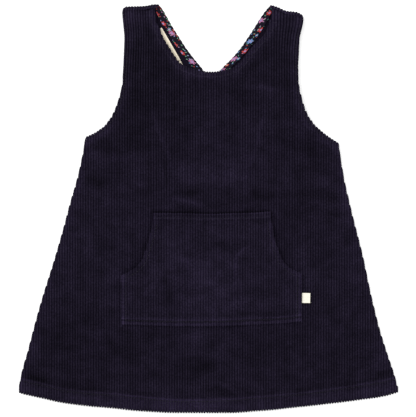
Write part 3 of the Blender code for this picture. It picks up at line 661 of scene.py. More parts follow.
def front_paths():
    """The front's edges as paths, each named for its kind of seam first."""
    neck = path_over(neck_edge, NECK_LEFT, NECK_RIGHT, NECK_POINTS)
    neck = np.concatenate([[[NECK_LEFT, front_top(NECK_LEFT)]], neck,
                           [[NECK_RIGHT, front_top(NECK_RIGHT)]]])
    left_top, right_top = front_top(np.array([WALL_LEFT, WALL_RIGHT]))
    left = np.concatenate([path_over(arm_left, UNDERARM_LEFT[0], WALL_LEFT),
                           wall_path(WALL_LEFT, ARMHOLES[-1].y + 1, left_top)])
    right = np.concatenate([wall_path(WALL_RIGHT, ARMHOLES[-1].y + 1, right_top)[::-1],
                            path_over(arm_right, WALL_RIGHT, UNDERARM_RIGHT[0])])
    return {
        "neck": leaned(neck),
        "armhole left": leaned(left),
        "armhole right": leaned(right),
        **skirt_paths(),
        "shoulder left": leaned(path_over(front_top, WALL_LEFT, NECK_LEFT)),
        "shoulder right": leaned(path_over(front_top, NECK_RIGHT, WALL_RIGHT)),
    }


def pocket_paths():
    """The pocket's sewn and open edges, clockwise from its lower left corner."""
    left = wall_path(POCKET_LEFT, float(pocket_bottom_edge(POCKET_LEFT)), HAND_LEFT[0].y)
    right = wall_path(POCKET_RIGHT, float(pocket_bottom_edge(POCKET_RIGHT)), HAND_RIGHT[-1].y)
    return {
        "sides left": left,
        "hand left": path_over(hand_left, POCKET_LEFT, HAND_LEFT[-1].x),
        "top": path_over(pocket_top_edge, POCKET_TOP[0].x, POCKET_TOP[-1].x),
        "hand right": path_over(hand_right, HAND_RIGHT[0].x, POCKET_RIGHT),
        "sides right": right[::-1],
        "bottom": path_over(pocket_bottom_edge, POCKET_LEFT, POCKET_RIGHT)[::-1],
    }


def tag_path():
    """Round the side tag's edge."""
    tag = TAPES[-1]
    left, low = tag.x - tag.width, tag.y - tag.length
    return np.array([(left, low), (left, tag.y), (tag.x, tag.y), (tag.x, low), (left, low)])


def distances(paths, x, y):
    """Distance of each point from each path."""
    return {name: distance_from(path, x, y) for name, path in paths.items()}


def nearest(away, *seams):
    """The least distance from any path of these seams, or from any at all."""
    chosen = [d for name, d in away.items() if not seams or name.split()[0] in seams]
    return np.min(chosen, axis=0)


def slope_of(curve, x, reach=SLOPE_REACH):
    return (curve(x + reach) - curve(x - reach)) / (2 * reach)


def levels_beside(curve, x, places):
    """Heights at these distances from an edge, where the edge isn't too steep to follow."""
    slope = abs(float(slope_of(curve, x)))
    if slope > STEEPEST:
        return []
    return [float(curve(x)) + place * math.sqrt(1 + slope ** 2) for place in places]


# ---- Meshes ---------------------------------------------------------------------------
def finished(name, points, faces, uvs, material_index, materials, tone=None):
    """Make a smooth-shaded object at the origin, its points given in millimetres."""
    data = bpy.data.meshes.new(name)
    data.from_pydata((np.asarray(points) * MM).tolist(), [], faces)
    for material in materials:
        data.materials.append(material)
    data.polygons.foreach_set("material_index", material_index)
    corner = np.empty(len(data.loops), dtype=np.int32)
    data.loops.foreach_get("vertex_index", corner)
    layer = data.uv_layers.new(name="cloth")
    layer.data.foreach_set("uv", np.asarray(uvs, dtype=np.float32)[corner].ravel())
    if tone is not None:
        # The nap attribute carries the painted light and shade, with the nap's own lie, as a factor on
        # the colour.
        nap = data.attributes.new("nap", "FLOAT", "POINT")
        nap.data.foreach_set("value", np.exp(tone).astype(np.float32))
    data.shade_smooth()
    data.update()
    data.validate()
    piece = bpy.data.objects.new(name, data)
    bpy.context.scene.collection.objects.link(piece)
    return piece


def strip(first, first_keys, second, second_keys, flip=False):
    """Fill between two rows of points with triangles, in the order of their keys."""
    faces = []
    i = 0
    j = 0
    while i < len(first) - 1 or j < len(second) - 1:
        second_done = j == len(second) - 1
        if i < len(first) - 1 and (second_done or first_keys[i + 1] <= second_keys[j + 1]):
            corners = (first[i], second[j], first[i + 1])
            i += 1
        else:
            corners = (first[i], second[j], second[j + 1])
            j += 1
        faces.append(corners[::-1] if flip else corners)
    return faces


Column = namedtuple("Column", "x levels")
Panel = namedtuple("Panel", "low high corners walls sewn extra_levels")


def column_places(panel):
    """Where columns of points stand: at each phase of each wale, and at the corners."""
    low, high = panel.corners[0], panel.corners[-1]
    counts = np.arange(math.floor(low / WALE_PITCH), math.ceil(high / WALE_PITCH) + 1)
    places = ((counts[:, None] + np.array(WALE_PHASES)) * WALE_PITCH).ravel()
    corners = np.array(panel.corners)
    near = np.abs(places[:, None] - corners).min(axis=1)
    kept = places[(places > low) & (places < high) & (near > COLUMN_CLEARANCE)]
    return np.sort(np.concatenate([kept, corners]))


def scalloped(curve, x):
    """How far the wale's end moves an edge: across the edge, so more where it is steep."""
    slope = np.minimum(np.abs(slope_of(curve, x, END_REACH)), STEEPEST_END)
    reach = HEM_SCALLOP if curve is hem_edge else SCALLOP
    swell = 2 * reach * (wale_profile(x / WALE_PITCH) - MEAN_RIB)
    return swell * np.sqrt(1 + slope ** 2)


def make_columns(panel, is_face):
    """Give each place its points from the lower edge to the upper one."""
    places = column_places(panel)
    still = np.zeros(len(places), bool)
    for wall in panel.walls:
        still |= np.abs(places - wall) < WALL_MARGIN
    lows = panel.low(places) - np.where(still, 0, scalloped(panel.low, places))
    for start, end in panel.sewn:
        still |= (places >= start) & (places <= end)
    highs = panel.high(places) + np.where(still, 0, scalloped(panel.high, places))
    grid = np.arange(-GRID_REACH, GRID_REACH, ROW_STEP if is_face else HIDDEN_STEP)
    columns = []
    for x, low, high in zip(places.tolist(), lows.tolist(), highs.tolist()):
        own = [low + gap for gap in EDGE_LEVELS] + [high - gap for gap in EDGE_LEVELS]
        if is_face:
            own += panel.extra_levels(x)
        inside = [y for y in sorted([*grid.tolist(), *own]) if low + MIN_STEP < y < high - MIN_STEP]
        levels = [low]
        for y in inside:
            if y - levels[-1] > MIN_STEP:
                levels.append(y)
        columns.append(Column(x, levels + [high]))
    for before, after in zip(columns, columns[1:]):
        for wall, neighbour in ((before, after), (after, before)):
            if stands_above(wall, neighbour, panel.walls):
                end = neighbour.levels[-1]
                clear = [y for y in wall.levels[1:-1] if abs(y - end) > MIN_STEP]
                wall.levels[1:-1] = sorted(clear + [end])
    return columns


def stands_above(column, neighbour, walls):
    return column.x in walls and column.levels[-1] > neighbour.levels[-1] + WALL_STEP


def joined_part(column, neighbour, walls):
    """How many of a column's points face its neighbour: a wall's upper ones don't."""
    if stands_above(column, neighbour, walls):
        return column.levels.index(neighbour.levels[-1]) + 1
    return len(column.levels)


def upper_edge(columns, rows, walls):
    """Follow the upper edge from left to right, up and down the walls."""
    points = [rows[0][-1]]
    keys = [columns[0].x]
    climbed = 0.0
    for i, (before, after) in enumerate(zip(columns, columns[1:])):
        for k in range(len(before.levels) - 2, joined_part(before, after, walls) - 2, -1):
            climbed += before.levels[k + 1] - before.levels[k]
            points.append(rows[i][k])
            keys.append(before.x + climbed)
        first = joined_part(after, before, walls) - 1
        for k in range(first, len(after.levels)):
            if k > first:
                climbed += after.levels[k] - after.levels[k - 1]
            points.append(rows[i + 1][k])
            keys.append(after.x + climbed)
    return points, keys


def sew_panel(panel):
    """Build a panel's two sides and rim. Return plan points, which side each is on, faces."""
    xs, ys, on_face = [], [], []
    faces, hidden = [], []
    sides = []
    for is_face in (True, False):
        columns = make_columns(panel, is_face)
        rows = []
        for column in columns:
            rows.append(list(range(len(xs), len(xs) + len(column.levels))))
            xs += [column.x] * len(column.levels)
            ys += column.levels
            on_face += [is_face] * len(column.levels)
        for i, (before, after) in enumerate(zip(columns, columns[1:])):
            left = joined_part(before, after, panel.walls)
            right = joined_part(after, before, panel.walls)
            made = strip(rows[i][:left], before.levels[:left],
                         rows[i + 1][:right], after.levels[:right], flip=not is_face)
            faces += made
            hidden += [0 if is_face else 1] * len(made)
        lower = ([row[0] for row in rows], [column.x for column in columns])
        sides.append((columns, rows, lower, upper_edge(columns, rows, panel.walls)))
    (columns, rows, lower, upper), (back_columns, back_rows, back_lower, back_upper) = sides
    rim = strip(*lower, *back_lower)
    rim += strip(*upper, *back_upper, flip=True)
    rim += strip(rows[0], columns[0].levels, back_rows[0], back_columns[0].levels, flip=True)
    rim += strip(rows[-1], columns[-1].levels, back_rows[-1], back_columns[-1].levels)
    faces += rim
    hidden += [0] * len(rim)
    return np.array(xs), np.array(ys), np.array(on_face), faces, hidden


def rolled(distance, thickness):
    """How far the cloth's face drops as it rolls over an edge, by distance from it."""
    t = 1 - np.clip(distance / EDGE_ROUND, 0.0, 1.0)
    return 0.5 * thickness * (1 - np.sqrt(1 - t * t))


# ---- Materials ------------------------------------------------------------------------
CORDUROY_FINISH = (0.9, 0.03)     # roughness and specular level
# Unevenness of the pile, in wales: how often across and up, its detail, and its share.
PILE_SHADES = table(
    "across up detail share",
    (0.85, 0.03, 0.0, 0.25),      # each wale's own shade
    (0.16, 0.24, 1.0, 0.60),      # patches a few wales wide
    (1.70, 1.50, 0.0, 0.72),      # tufts
)


def add(tree, kind, inputs=None, stops=None, **settings):
    """Add a node with its settings, its inputs' values or links, and a ramp's stops."""
    made = tree.nodes.new("ShaderNode" + kind)
    for name, value in settings.items():
        setattr(made, name, value)
    for key, value in (inputs or {}).items():
        if isinstance(value, bpy.types.NodeSocket):
            tree.links.new(value, made.inputs[key])
        else:
            made.inputs[key].default_value = value
    if stops:
        ramp = made.color_ramp
        while len(ramp.elements) < len(stops):
            ramp.elements.new(1.0)
        for element, (position, colour) in zip(ramp.elements, stops):
            element.position = position
            element.color = (*colour, 1.0)
    return made


def new_material(name, roughness, specular):
    """Start a material: its shader has a plain finish and waits for its colour."""
    material = bpy.data.materials.new(name)
    material.use_nodes = True
    tree = material.node_tree
    shader = tree.nodes["Principled BSDF"]
    shader.inputs["Roughness"].default_value = roughness
    shader.inputs["Specular IOR Level"].default_value = specular
    return material, tree, shader


def cloth_uv(tree):
    return add(tree, "UVMap", uv_map="cloth").outputs["UV"]


def object_place(tree):
    return add(tree, "TexCoord").outputs["Object"]


def worked(tree, operation, *values):
    """The result of a sum on plain numbers."""
    return add(tree, "Math", dict(enumerate(values)), operation=operation).outputs[0]


def noise(tree, vector, scale, detail=2.0, roughness=0.5):
    return add(tree, "TexNoise", {"Vector": vector, "Scale": scale, "Detail": detail,
                                  "Roughness": roughness}).outputs["Fac"]


def spread(tree, value, low, high, least, most):
    """Turn the range from low to high into the one from least to most."""
    return add(tree, "MapRange", {"Value": value, "From Min": low, "From Max": high,
                                  "To Min": least, "To Max": most}).outputs["Result"]


def shaded(tree, colour, light):
    """The colour, that much lighter or darker."""
    return add(tree, "VectorMath", {0: colour, 3: light}, operation="SCALE").outputs["Vector"]


def finish(tree, shader, colour, height=None, distance=0.0, strength=0.0):
    """Give the shader its colour and the small relief of its yarn."""
    tree.links.new(colour, shader.inputs["Base Color"])
    if height:
        bump = add(tree, "Bump", {"Height": height, "Distance": distance, "Strength": strength})
        tree.links.new(bump.outputs["Normal"], shader.inputs["Normal"])


def corduroy_material(cloth):
    """Cut-pile cotton corduroy, piece-dyed navy: a soft crest with a painted highlight, a valley with
    painted shade, streaky nap.
    """
    material, tree, shader = new_material("corduroy, cut pile cotton, navy", *CORDUROY_FINISH)
    uv = cloth_uv(tree)
    place = object_place(tree)
    # The nap attribute multiplies in the painted light and shade of folds, seams and patches, partly
    # the nap's own lie.
    lights = [add(tree, "Attribute", attribute_name="nap").outputs["Fac"]]
    phase = worked(tree, "FRACT", add(tree, "SeparateXYZ", {0: uv}).outputs["X"])
    from_crest = worked(tree, "ABSOLUTE", worked(tree, "SUBTRACT", phase, 0.5))
    # Across each wale the colour runs from painted shade in the valley, through the pile's dye, to a
    # painted highlight on the crest.
    shade = add(tree, "ValToRGB", {"Fac": spread(tree, from_crest, 0.5, 0.18, 0.0, 1.0)},
                stops=((0.0, cloth.valley), (0.45, cloth.pile), (1.0, cloth.crest)))
    for layer in PILE_SHADES:
        scale = (layer.across, layer.up, 1.0)
        drawn = add(tree, "Mapping", {"Vector": uv, "Scale": scale}).outputs[0]
        swing = cloth.uneven * layer.share
        lights.append(spread(tree, noise(tree, drawn, 1.0, layer.detail, 0.6),
                             0.25, 0.75, 1 - swing, 1 + swing))
    lights.append(spread(tree, noise(tree, place, 22.0, 3.0, 0.55),
                         0.3, 0.7, 1 - cloth.clouds, 1 + cloth.clouds))
    colour = shade.outputs["Color"]
    for light in lights:
        colour = shaded(tree, colour, light)
    finish(tree, shader, colour, noise(tree, place, 900.0, 2.0, 0.6), 0.0004, 0.5)
    shader.inputs["Sheen Weight"].default_value = cloth.sheen
    shader.inputs["Sheen Roughness"].default_value = 0.45
    shader.inputs["Sheen Tint"].default_value = (*cloth.nap, 1.0)
    return material


def wrong_side_material(cloth):
    """The corduroy's flat woven back, a little duller than its pile, with a fine twill."""
    material, tree, shader = new_material("corduroy's woven back, navy", *CORDUROY_FINISH)
    twill = add(tree, "TexWave", {"Vector": object_place(tree), "Scale": 420.0, "Distortion": 1.2,
                                  "Detail": 1.0}, bands_direction="DIAGONAL").outputs["Fac"]
    shade = add(tree, "ValToRGB", {"Fac": twill},
                stops=((0.0, cloth.valley), (0.35, cloth.pile), (1.0, cloth.crest)))
    finish(tree, shader, shade.outputs["Color"], twill, 0.0002, 0.4)
    return material


# The print's layers of motifs, from back to front. Sizes in millimetres.
MOTIFS = table(
    "cell radius petals wave stretch centre share shift colours heart",
    (5.2, 1.15, 2, 0.10, 1.8, 0.0, 0.66, 3.7,
     ("#557D66", "#71947B", "#497168", "#638B71"), "#527C5A"),
    (5.6, 0.85, 5, 0.16, 1.0, 0.0, 0.66, 11.3,
     ("#837FAA", "#6383AA", "#987791", "#9B3B38"), "#837FAA"),
    (8.6, 2.2, 5, 0.22, 1.0, 0.75, 0.45, 23.9,
     ("#9E3D3B", "#6A9A7C", "#5477A0", "#837BA4"), "#AA9E88"),
    (14.0, 4.0, 6, 0.22, 1.0, 1.4, 0.86, 46.05,
     ("#A53A37", "#A53A37", "#5C7DA6", "#9F6587"), "#8A79A2"),
)


def print_motif(tree, uv, colour, motif):
    """Scatter one kind of flower, leaf or dot over the colour, each turned its own way."""
    spot = add(tree, "Mapping", {
        "Vector": uv, "Location": (motif.shift, motif.shift * 0.37, 0.0),
        "Scale": (1 / motif.cell, 1 / motif.cell, 1.0)}).outputs[0]
    cells = add(tree, "TexVoronoi", {"Vector": spot, "Scale": 1.0, "Randomness": 0.6},
                voronoi_dimensions="2D")
    chance = add(tree, "SeparateColor", {0: cells.outputs["Color"]}).outputs
    delta = add(tree, "VectorMath", {0: spot, 1: cells.outputs["Position"]}, operation="SUBTRACT")
    turn = worked(tree, "MULTIPLY", chance[2], math.tau)
    turned = add(tree, "VectorRotate", {"Vector": delta.outputs[0], "Angle": turn},
                 rotation_type="Z_AXIS")
    shaped = add(tree, "VectorMath", {0: turned.outputs[0], 1: (1.0, motif.stretch, 1.0)},
                 operation="MULTIPLY").outputs[0]
    axes = add(tree, "SeparateXYZ", {0: shaped}).outputs
    reach = add(tree, "VectorMath", {0: shaped}, operation="LENGTH").outputs["Value"]
    angle = worked(tree, "ARCTAN2", axes["Y"], axes["X"])
    lobe = worked(tree, "COSINE", worked(tree, "MULTIPLY", angle, float(motif.petals)))
    size = motif.radius / motif.cell
    edge = worked(tree, "MULTIPLY_ADD", lobe, motif.wave * size, size * (1 - motif.wave))
    inside = worked(tree, "LESS_THAN", reach, edge)
    present = worked(tree, "LESS_THAN", chance[1], motif.share)
    shown = worked(tree, "MULTIPLY", inside, present)
    stops = [(count / len(motif.colours), linear(dye)) for count, dye in enumerate(motif.colours)]
    choice = add(tree, "ValToRGB", {"Fac": chance[0]}, stops=stops)
    choice.color_ramp.interpolation = "CONSTANT"
    middle = worked(tree, "LESS_THAN", reach, motif.centre / motif.cell)
    flower = add(tree, "Mix", {"Factor": middle, "A": choice.outputs["Color"],
                               "B": (*linear(motif.heart), 1.0)}, data_type="RGBA")
    return add(tree, "Mix", {"Factor": shown, "A": colour, "B": flower.outputs["Result"]},
               data_type="RGBA").outputs["Result"]


def floral_material(print_colours):
    """Lightweight plain-weave cotton with a small scattered flower print on dark navy."""
    material, tree, shader = new_material("printed cotton lawn, small flowers on navy", 0.85, 0.08)
    uv = cloth_uv(tree)
    colour = (*print_colours.ground, 1.0)
    for motif in MOTIFS:
        colour = print_motif(tree, uv, colour, motif)
    weave = add(tree, "TexChecker", {"Vector": uv, "Scale": 2.6}).outputs["Fac"]
    finish(tree, shader, colour, weave, 0.0001, 0.3)
    return material


def tape_material(name, colour):
    """Soft woven cotton tape, cream: fine ribs across it and slightly uneven dye."""
    material, tree, shader = new_material(name, 0.75, 0.25)
    uv = cloth_uv(tree)
    ribs = add(tree, "TexWave", {"Vector": uv, "Scale": 0.55, "Distortion": 0.6, "Detail": 2.0},
               bands_direction="X").outputs["Fac"]
    light = spread(tree, noise(tree, uv, 0.5, 3.0), 0.3, 0.7, 0.92, 1.05)
    finish(tree, shader, shaded(tree, (*colour,), light), ribs, 0.0002, 0.5)
    return material


def thread_material(name, colour):
    """Spun polyester sewing thread: slightly glossy, with its twist as fine slanting lines."""
    material, tree, shader = new_material(name, 0.55, 0.3)
    twist = add(tree, "TexWave", {"Vector": object_place(tree), "Scale": 700.0},
                bands_direction="DIAGONAL").outputs["Fac"]
    light = spread(tree, twist, 0.0, 1.0, 0.8, 1.15)
    finish(tree, shader, shaded(tree, (*colour,), light))
    return material


def paper_material(name, colour, glow):
    """Matt background paper, hardly grained: a little light comes up through it."""
    material, tree, shader = new_material(name, 1.0, 0.0)
    light = spread(tree, noise(tree, object_place(tree), 60.0), 0.0, 1.0, 0.985, 1.0)
    finish(tree, shader, shaded(tree, (*colour,), light))
    shader.inputs["Emission Color"].default_value = (1.0, 1.0, 1.0, 1.0)
    shader.inputs["Emission Strength"].default_value = glow
    return material


def shared_material(name, make, *settings):
    """Return the material of that start of name, made the first time it is asked for."""
    for material in bpy.data.materials:
        if material.name.startswith(name):
            return material
    return make(*settings)


# ---- Settings -------------------------------------------------------------------------
def colour_setting(name, description, hex_colour):
    """A colour that the sidebar shows, its default given as an sRGB hex code."""
    return FloatVectorProperty(name=name, description=description, subtype="COLOR",
                               default=linear(hex_colour))


class PINAFORE_PG_cloth(bpy.types.PropertyGroup):
    """The corduroy's dye, with a painted highlight on the crests and painted shade in the valleys, and
    its nap.
    """
    # The crest colour is lighter than the pile as a painted highlight; the valley colour is darker as
    # painted shade between the wales.
    crest: colour_setting("Crest", "Dye on the wales' crests", "#191521")
    pile: colour_setting("Pile", "Dye on the wales' sides", "#100C19")
    valley: colour_setting("Valley", "Dye between the wales", "#07030E")
    nap: colour_setting("Nap", "Tint of the pile's sheen", "#8A84A8")
    sheen: FloatProperty(name="Sheen", description="Strength of the pile's sheen",
                         default=0.02, min=0.0, max=1.0)
    uneven: FloatProperty(name="Unevenness", description="How much the pile's shade varies",
                          default=0.42, min=0.0, max=0.7)
    clouds: FloatProperty(name="Clouds", description="How much the nap varies in broad clouds",
                          default=0.16, min=0.0, max=0.5)


class PINAFORE_PG_print(bpy.types.PropertyGroup):
    """The floral facing's ground and the labels' tape."""
    ground: colour_setting("Ground", "Ground of the flower print", "#120F1B")
    label: colour_setting("Label", "Neck and care labels' tape", "#E8DDC7")
    tag: colour_setting("Tag", "Side tag's tape", "#E5E1D4")


class PINAFORE_PG_sewing(bpy.types.PropertyGroup):
    """The rows of stitches."""
    length: FloatProperty(name="Stitch", description="Length of a stitch on the cloth",
                          default=2.5 * MM, min=0.5 * MM, unit="LENGTH", precision=5)
    gap: FloatProperty(name="Gap", description="Gap between two stitches",
                       default=0.7 * MM, min=0.1 * MM, unit="LENGTH", precision=5)
    thickness: FloatProperty(name="Thread", description="Thickness of the thread",
                             default=0.5 * MM, min=0.1 * MM, unit="LENGTH", precision=5)
    thread: colour_setting("Navy thread", "Thread on the corduroy", "#100C19")
    sides: IntProperty(name="Sides", description="Sides round a stitch", default=6, min=4)


class PINAFORE_PG_stage(bpy.types.PropertyGroup):
    """Floor, light and camera."""
    floor: colour_setting("Floor", "Colour of the floor", "#FCFCFC")
    glow: FloatProperty(name="Glow", description="Light that comes up through the floor",
                        default=0.15, min=0.0)
    key: FloatProperty(name="Key light", description="Power of the main light, in watts",
                       default=49.0, min=0.0)
    fill: FloatProperty(name="Fill light", description="Power of the weaker light, in watts",
                        default=29.0, min=0.0)
    sky: FloatProperty(name="Sky", description="Strength of the light from all round",
                       default=0.76, min=0.0)
    lens: FloatProperty(name="Lens", description="Focal length in millimetres",
                        default=85.0, min=10.0)


def cloth_materials():
    cloth = bpy.context.scene.pinafore_cloth
    return (shared_material("corduroy, cut", corduroy_material, cloth),
            shared_material("corduroy's woven", wrong_side_material, cloth))


# ---- Panels ---------------------------------------------------------------------------
def past_hem(x, y):
    """How far a point lies above the upper edge of the turned-up hem."""
    return y - hem_edge(x) - hem_turn(x)


def ribs(x):
    """Height of the wales over the cloth between them."""
    return wale_profile(x / WALE_PITCH) * WALE_HEIGHT


def seam_wear_and_shade(tone, away, *lines):
    """Add to the tone the painted light and shade, partly worn nap, along each seam line; a line's
    last word names its seam.
    """
    for line in lines:
        tone = tone + seam_tone(line, nearest(away, line.split()[-1]))
    return tone


def shell_heights(on_face, edge, bed, crease, rib, relief, tuck):
    """Heights of a panel's worn and inner sides, with its creases, wales and rolled edges."""
    under = bed + np.maximum(crease, -DEEPEST)
    face = bed + crease + WALL + rib + relief - rolled(edge, WALL + rib)
    face = np.maximum(face, under + LEAST_WALL * (edge > EDGE_ROUND))
    return np.where(on_face, face, under + tuck * WALL * (edge < MIN_STEP))


def seam_relief(away, past):
    """Bulk and stitched grooves along the front's neck, armholes and hem."""
    relief = HEM_BULK * (1 - smooth_step(past, 0.0, HEM_SOFTNESS)) + groove(past + HEM_SEWN)
    for line in SEAM_LINES:
        inset = nearest(away, line.name)
        relief += line.bulk * (1 - smooth_step(inset, line.inset, line.inset + SEAM_SOFTNESS))
        relief += groove(inset - line.inset)
    return relief


def front_extra(x):
    """Where a column of the front needs more points: by its seams, creases and pocket."""
    turn = float(hem_turn(x))
    levels = levels_beside(hem_edge, x, [turn + gap for gap in HEM_LEVELS])
    levels += crease_levels(x, FRONT_CREASES)
    if NECK_LEFT < x < NECK_RIGHT:
        levels += levels_beside(neck_edge, x, NECK_LEVELS)
    for arm, start, end in ((arm_left, UNDERARM_LEFT[0], WALL_LEFT),
                            (arm_right, WALL_RIGHT, UNDERARM_RIGHT[0])):
        if start < x < end:
            levels += levels_beside(arm, x, ARMHOLE_LEVELS)
    tag = tag_path()
    if tag[:, 0].min() < x < tag[:, 0].max() + TAG_REACH:
        ends = (tag[:, 1].min(), tag[:, 1].max())
        levels += [end + gap for end in ends for gap in TAG_LEVELS]
    if POCKET_LEFT < x < POCKET_RIGHT:
        levels += levels_beside(pocket_top, x, OVER_POCKET_LEVELS)
        levels += levels_beside(pocket_bottom_edge, x, UNDER_POCKET_LEVELS)
    return levels


def build_front():
    """The front: one piece of corduroy from its hem to its shoulders."""
    corners = (-HALF_HEM, UNDERARM_LEFT[0], WALL_LEFT, NECK_LEFT,
               NECK_RIGHT, WALL_RIGHT, UNDERARM_RIGHT[0], HALF_HEM)
    shoulders = ((WALL_LEFT, NECK_LEFT), (NECK_RIGHT, WALL_RIGHT))
    panel = Panel(hem_edge, front_top, corners, (WALL_LEFT, WALL_RIGHT), shoulders, front_extra)
    u, y, on_face, faces, hidden = sew_panel(panel)
    x = u + lean(u, y)
    away = distances(front_paths(), x, y)
    edge = nearest(away, "neck", "armhole", "side", "hem")
    rib = ribs(u)
    z = shell_heights(on_face, edge, front_bed(x, y), creased(x, y, FRONT_CREASES), rib,
                      seam_relief(away, past_hem(x, y)), FRONT_TUCK)
    # Painted light and shade: creases, patches and seams, painted shadow beside the pocket and tag,
    # and lighter or deeper painted shade in the valleys; partly the nap's lie.
    tone = fold_shade_and_nap(x, y, FRONT_CREASES, FRONT_PATCHES)
    tone = seam_wear_and_shade(tone, away, "neck", "armhole", "side", "shoulder", "hem")
    tone += seam_tone("hem turn", past_hem(x, y))
    by_pocket = distances({**pocket_paths(), "tag": tag_path()}, x, y)
    tone = seam_wear_and_shade(tone, by_pocket, "beside top", "beside sides", "beside hand", "beside bottom",
                  "beside tag")
    tone = leaned_tone(tone, rib / WALE_HEIGHT, fold_shade_and_nap(x, y, (), FRONT_VALLEY_LIGHT))
    return finished("front_cloth", stacked(x, y, z), faces, stacked(u, y) / WALE_PITCH, hidden,
                    cloth_materials(), tone)


def build_back():
    """The back: its outer side rests on the floor on the crests of its wales."""
    corners = (-HALF_HEM, UNDERARM_LEFT[0], UNDERARM_RIGHT[0], HALF_HEM)
    panel = Panel(hem_edge, back_top, corners, (), (), lambda x: [])
    x, y, on_face, faces, hidden = sew_panel(panel)
    top = path_over(back_top_edge, UNDERARM_LEFT[0], UNDERARM_RIGHT[0])
    away = distances({**skirt_paths(), "top": top}, x, y)
    edge = nearest(away)
    rib = wale_profile(x / WALE_PITCH)
    hollow = UNDER_RELIEF * (1 - rib) + np.maximum(creased(x, y, BACK_CREASES), 0)
    hollow -= groove(past_hem(x, y) + HEM_SEWN) * UNDER_GROOVE
    under = np.clip(hollow + rolled(edge, WALL), 0.0, WALL - LEAST_WALL / 2)
    z = np.where(on_face, under, WALL - TUCK * WALL * (edge < MIN_STEP))
    # Painted light and shade of the back's creases and seams, partly the nap's lie.
    tone = seam_wear_and_shade(fold_shade_and_nap(x, y, BACK_CREASES, ()), away, "side", "hem")
    tone += seam_tone("hem turn", past_hem(x, y))
    turned = [corners_of[::-1] for corners_of in faces]
    return finished("back_cloth", stacked(x, y, z), turned, stacked(x, y) / WALE_PITCH, hidden,
                    cloth_materials(), tone)


def build_pocket():
    """The kangaroo pocket, its wales running on from the front's, with a turned top band."""
    walls = (POCKET_TOP[0].x, POCKET_TOP[-1].x)
    corners = (POCKET_LEFT, HAND_LEFT[-1].x, *walls, HAND_RIGHT[0].x, POCKET_RIGHT)

    def extra(x):
        levels = levels_beside(pocket_bottom_edge, x, POCKET_BOTTOM_LEVELS)
        levels += crease_levels(x, POCKET_CREASES)
        if walls[0] <= x <= walls[1]:
            return levels + levels_beside(pocket_top_edge, x, POCKET_BAND_LEVELS)
        return levels + levels_beside(pocket_top, x, POCKET_HAND_LEVELS)

    panel = Panel(pocket_bottom_edge, pocket_top, corners, walls, (), extra)
    x, y, on_face, faces, hidden = sew_panel(panel)
    away = distances(pocket_paths(), x, y)
    edge = nearest(away)
    sewn = nearest(away, "sides", "bottom", "hand")
    below_top = pocket_top(x) - y
    banded = (x >= walls[0]) & (x <= walls[1])
    allowance = 1 - smooth_step(sewn, POCKET_STITCH, POCKET_ALLOWANCE)
    relief = groove(sewn - POCKET_STITCH) + POCKET_EDGE_BULK * allowance
    band = BAND_BULK * (1 - smooth_step(below_top, POCKET_BAND, POCKET_BAND + SEAM_SOFTNESS))
    relief += np.where(banded, band + groove(below_top - POCKET_BAND + BAND_STITCH), 0.0)
    rib = ribs(x)
    z = shell_heights(on_face, edge, pocket_bed(x, y), creased(x, y, POCKET_CREASES), rib,
                      relief, TUCK)
    # Painted light and shade of the pocket's creases, patches and seams, partly the nap's lie.
    tone = seam_wear_and_shade(fold_shade_and_nap(x, y, POCKET_CREASES, POCKET_PATCHES), away,
                  "pocket sides", "pocket bottom", "pocket hand", "pocket top")
    return finished("pocket_cloth", stacked(x, y, z), faces, stacked(x, y) / WALE_PITCH, hidden,
                    cloth_materials(), leaned_tone(tone, rib / WALE_HEIGHT))


# ---- Straps and facings ---------------------------------------------------------------
STRAP_PITCH = 3.5         # a strap's wales run up and down the dress, not along the strap
STRAP_COLUMNS = 72
STRAP_ROWS = 170
STRAP_WIDTH = 45.0
FOLD_STEPS = 12
FLAP_ROWS = 4
# How light the pile is made round the shoulder's fold, by angle: on the flap, its top, and down the
# fold.
FOLD_TONES = table("angle tone", (-90, -0.10), (0, 0.10), (60, 0.45), (90, 0.50))
STRAP_SETTLE = 0.02       # share of the run over which the hidden wales begin
STRAP_HOLLOW = 0.8        # deepest hollow on the side that rests on the floor
STRAP_ROLL = 0.6          # share of the wall that the inner side's edges roll over
FACING_COLUMNS = 16
FACING_ROWS = 90
FACING_FOLD = (30.0, -90.0, 8)        # how far the facing follows the fold, and in what steps
FACING_STRETCH = 1.2                  # of its print, along the slanting strap
FACING_CUT = {"left": (0.0, 0.0), "right": (56.0, 25.0)}    # where on the print each is cut
PUCKER = 0.12                         # height of the facing's ripples along its seam
PUCKER_REACH = 4.0                    # how far in from its edges they fade out


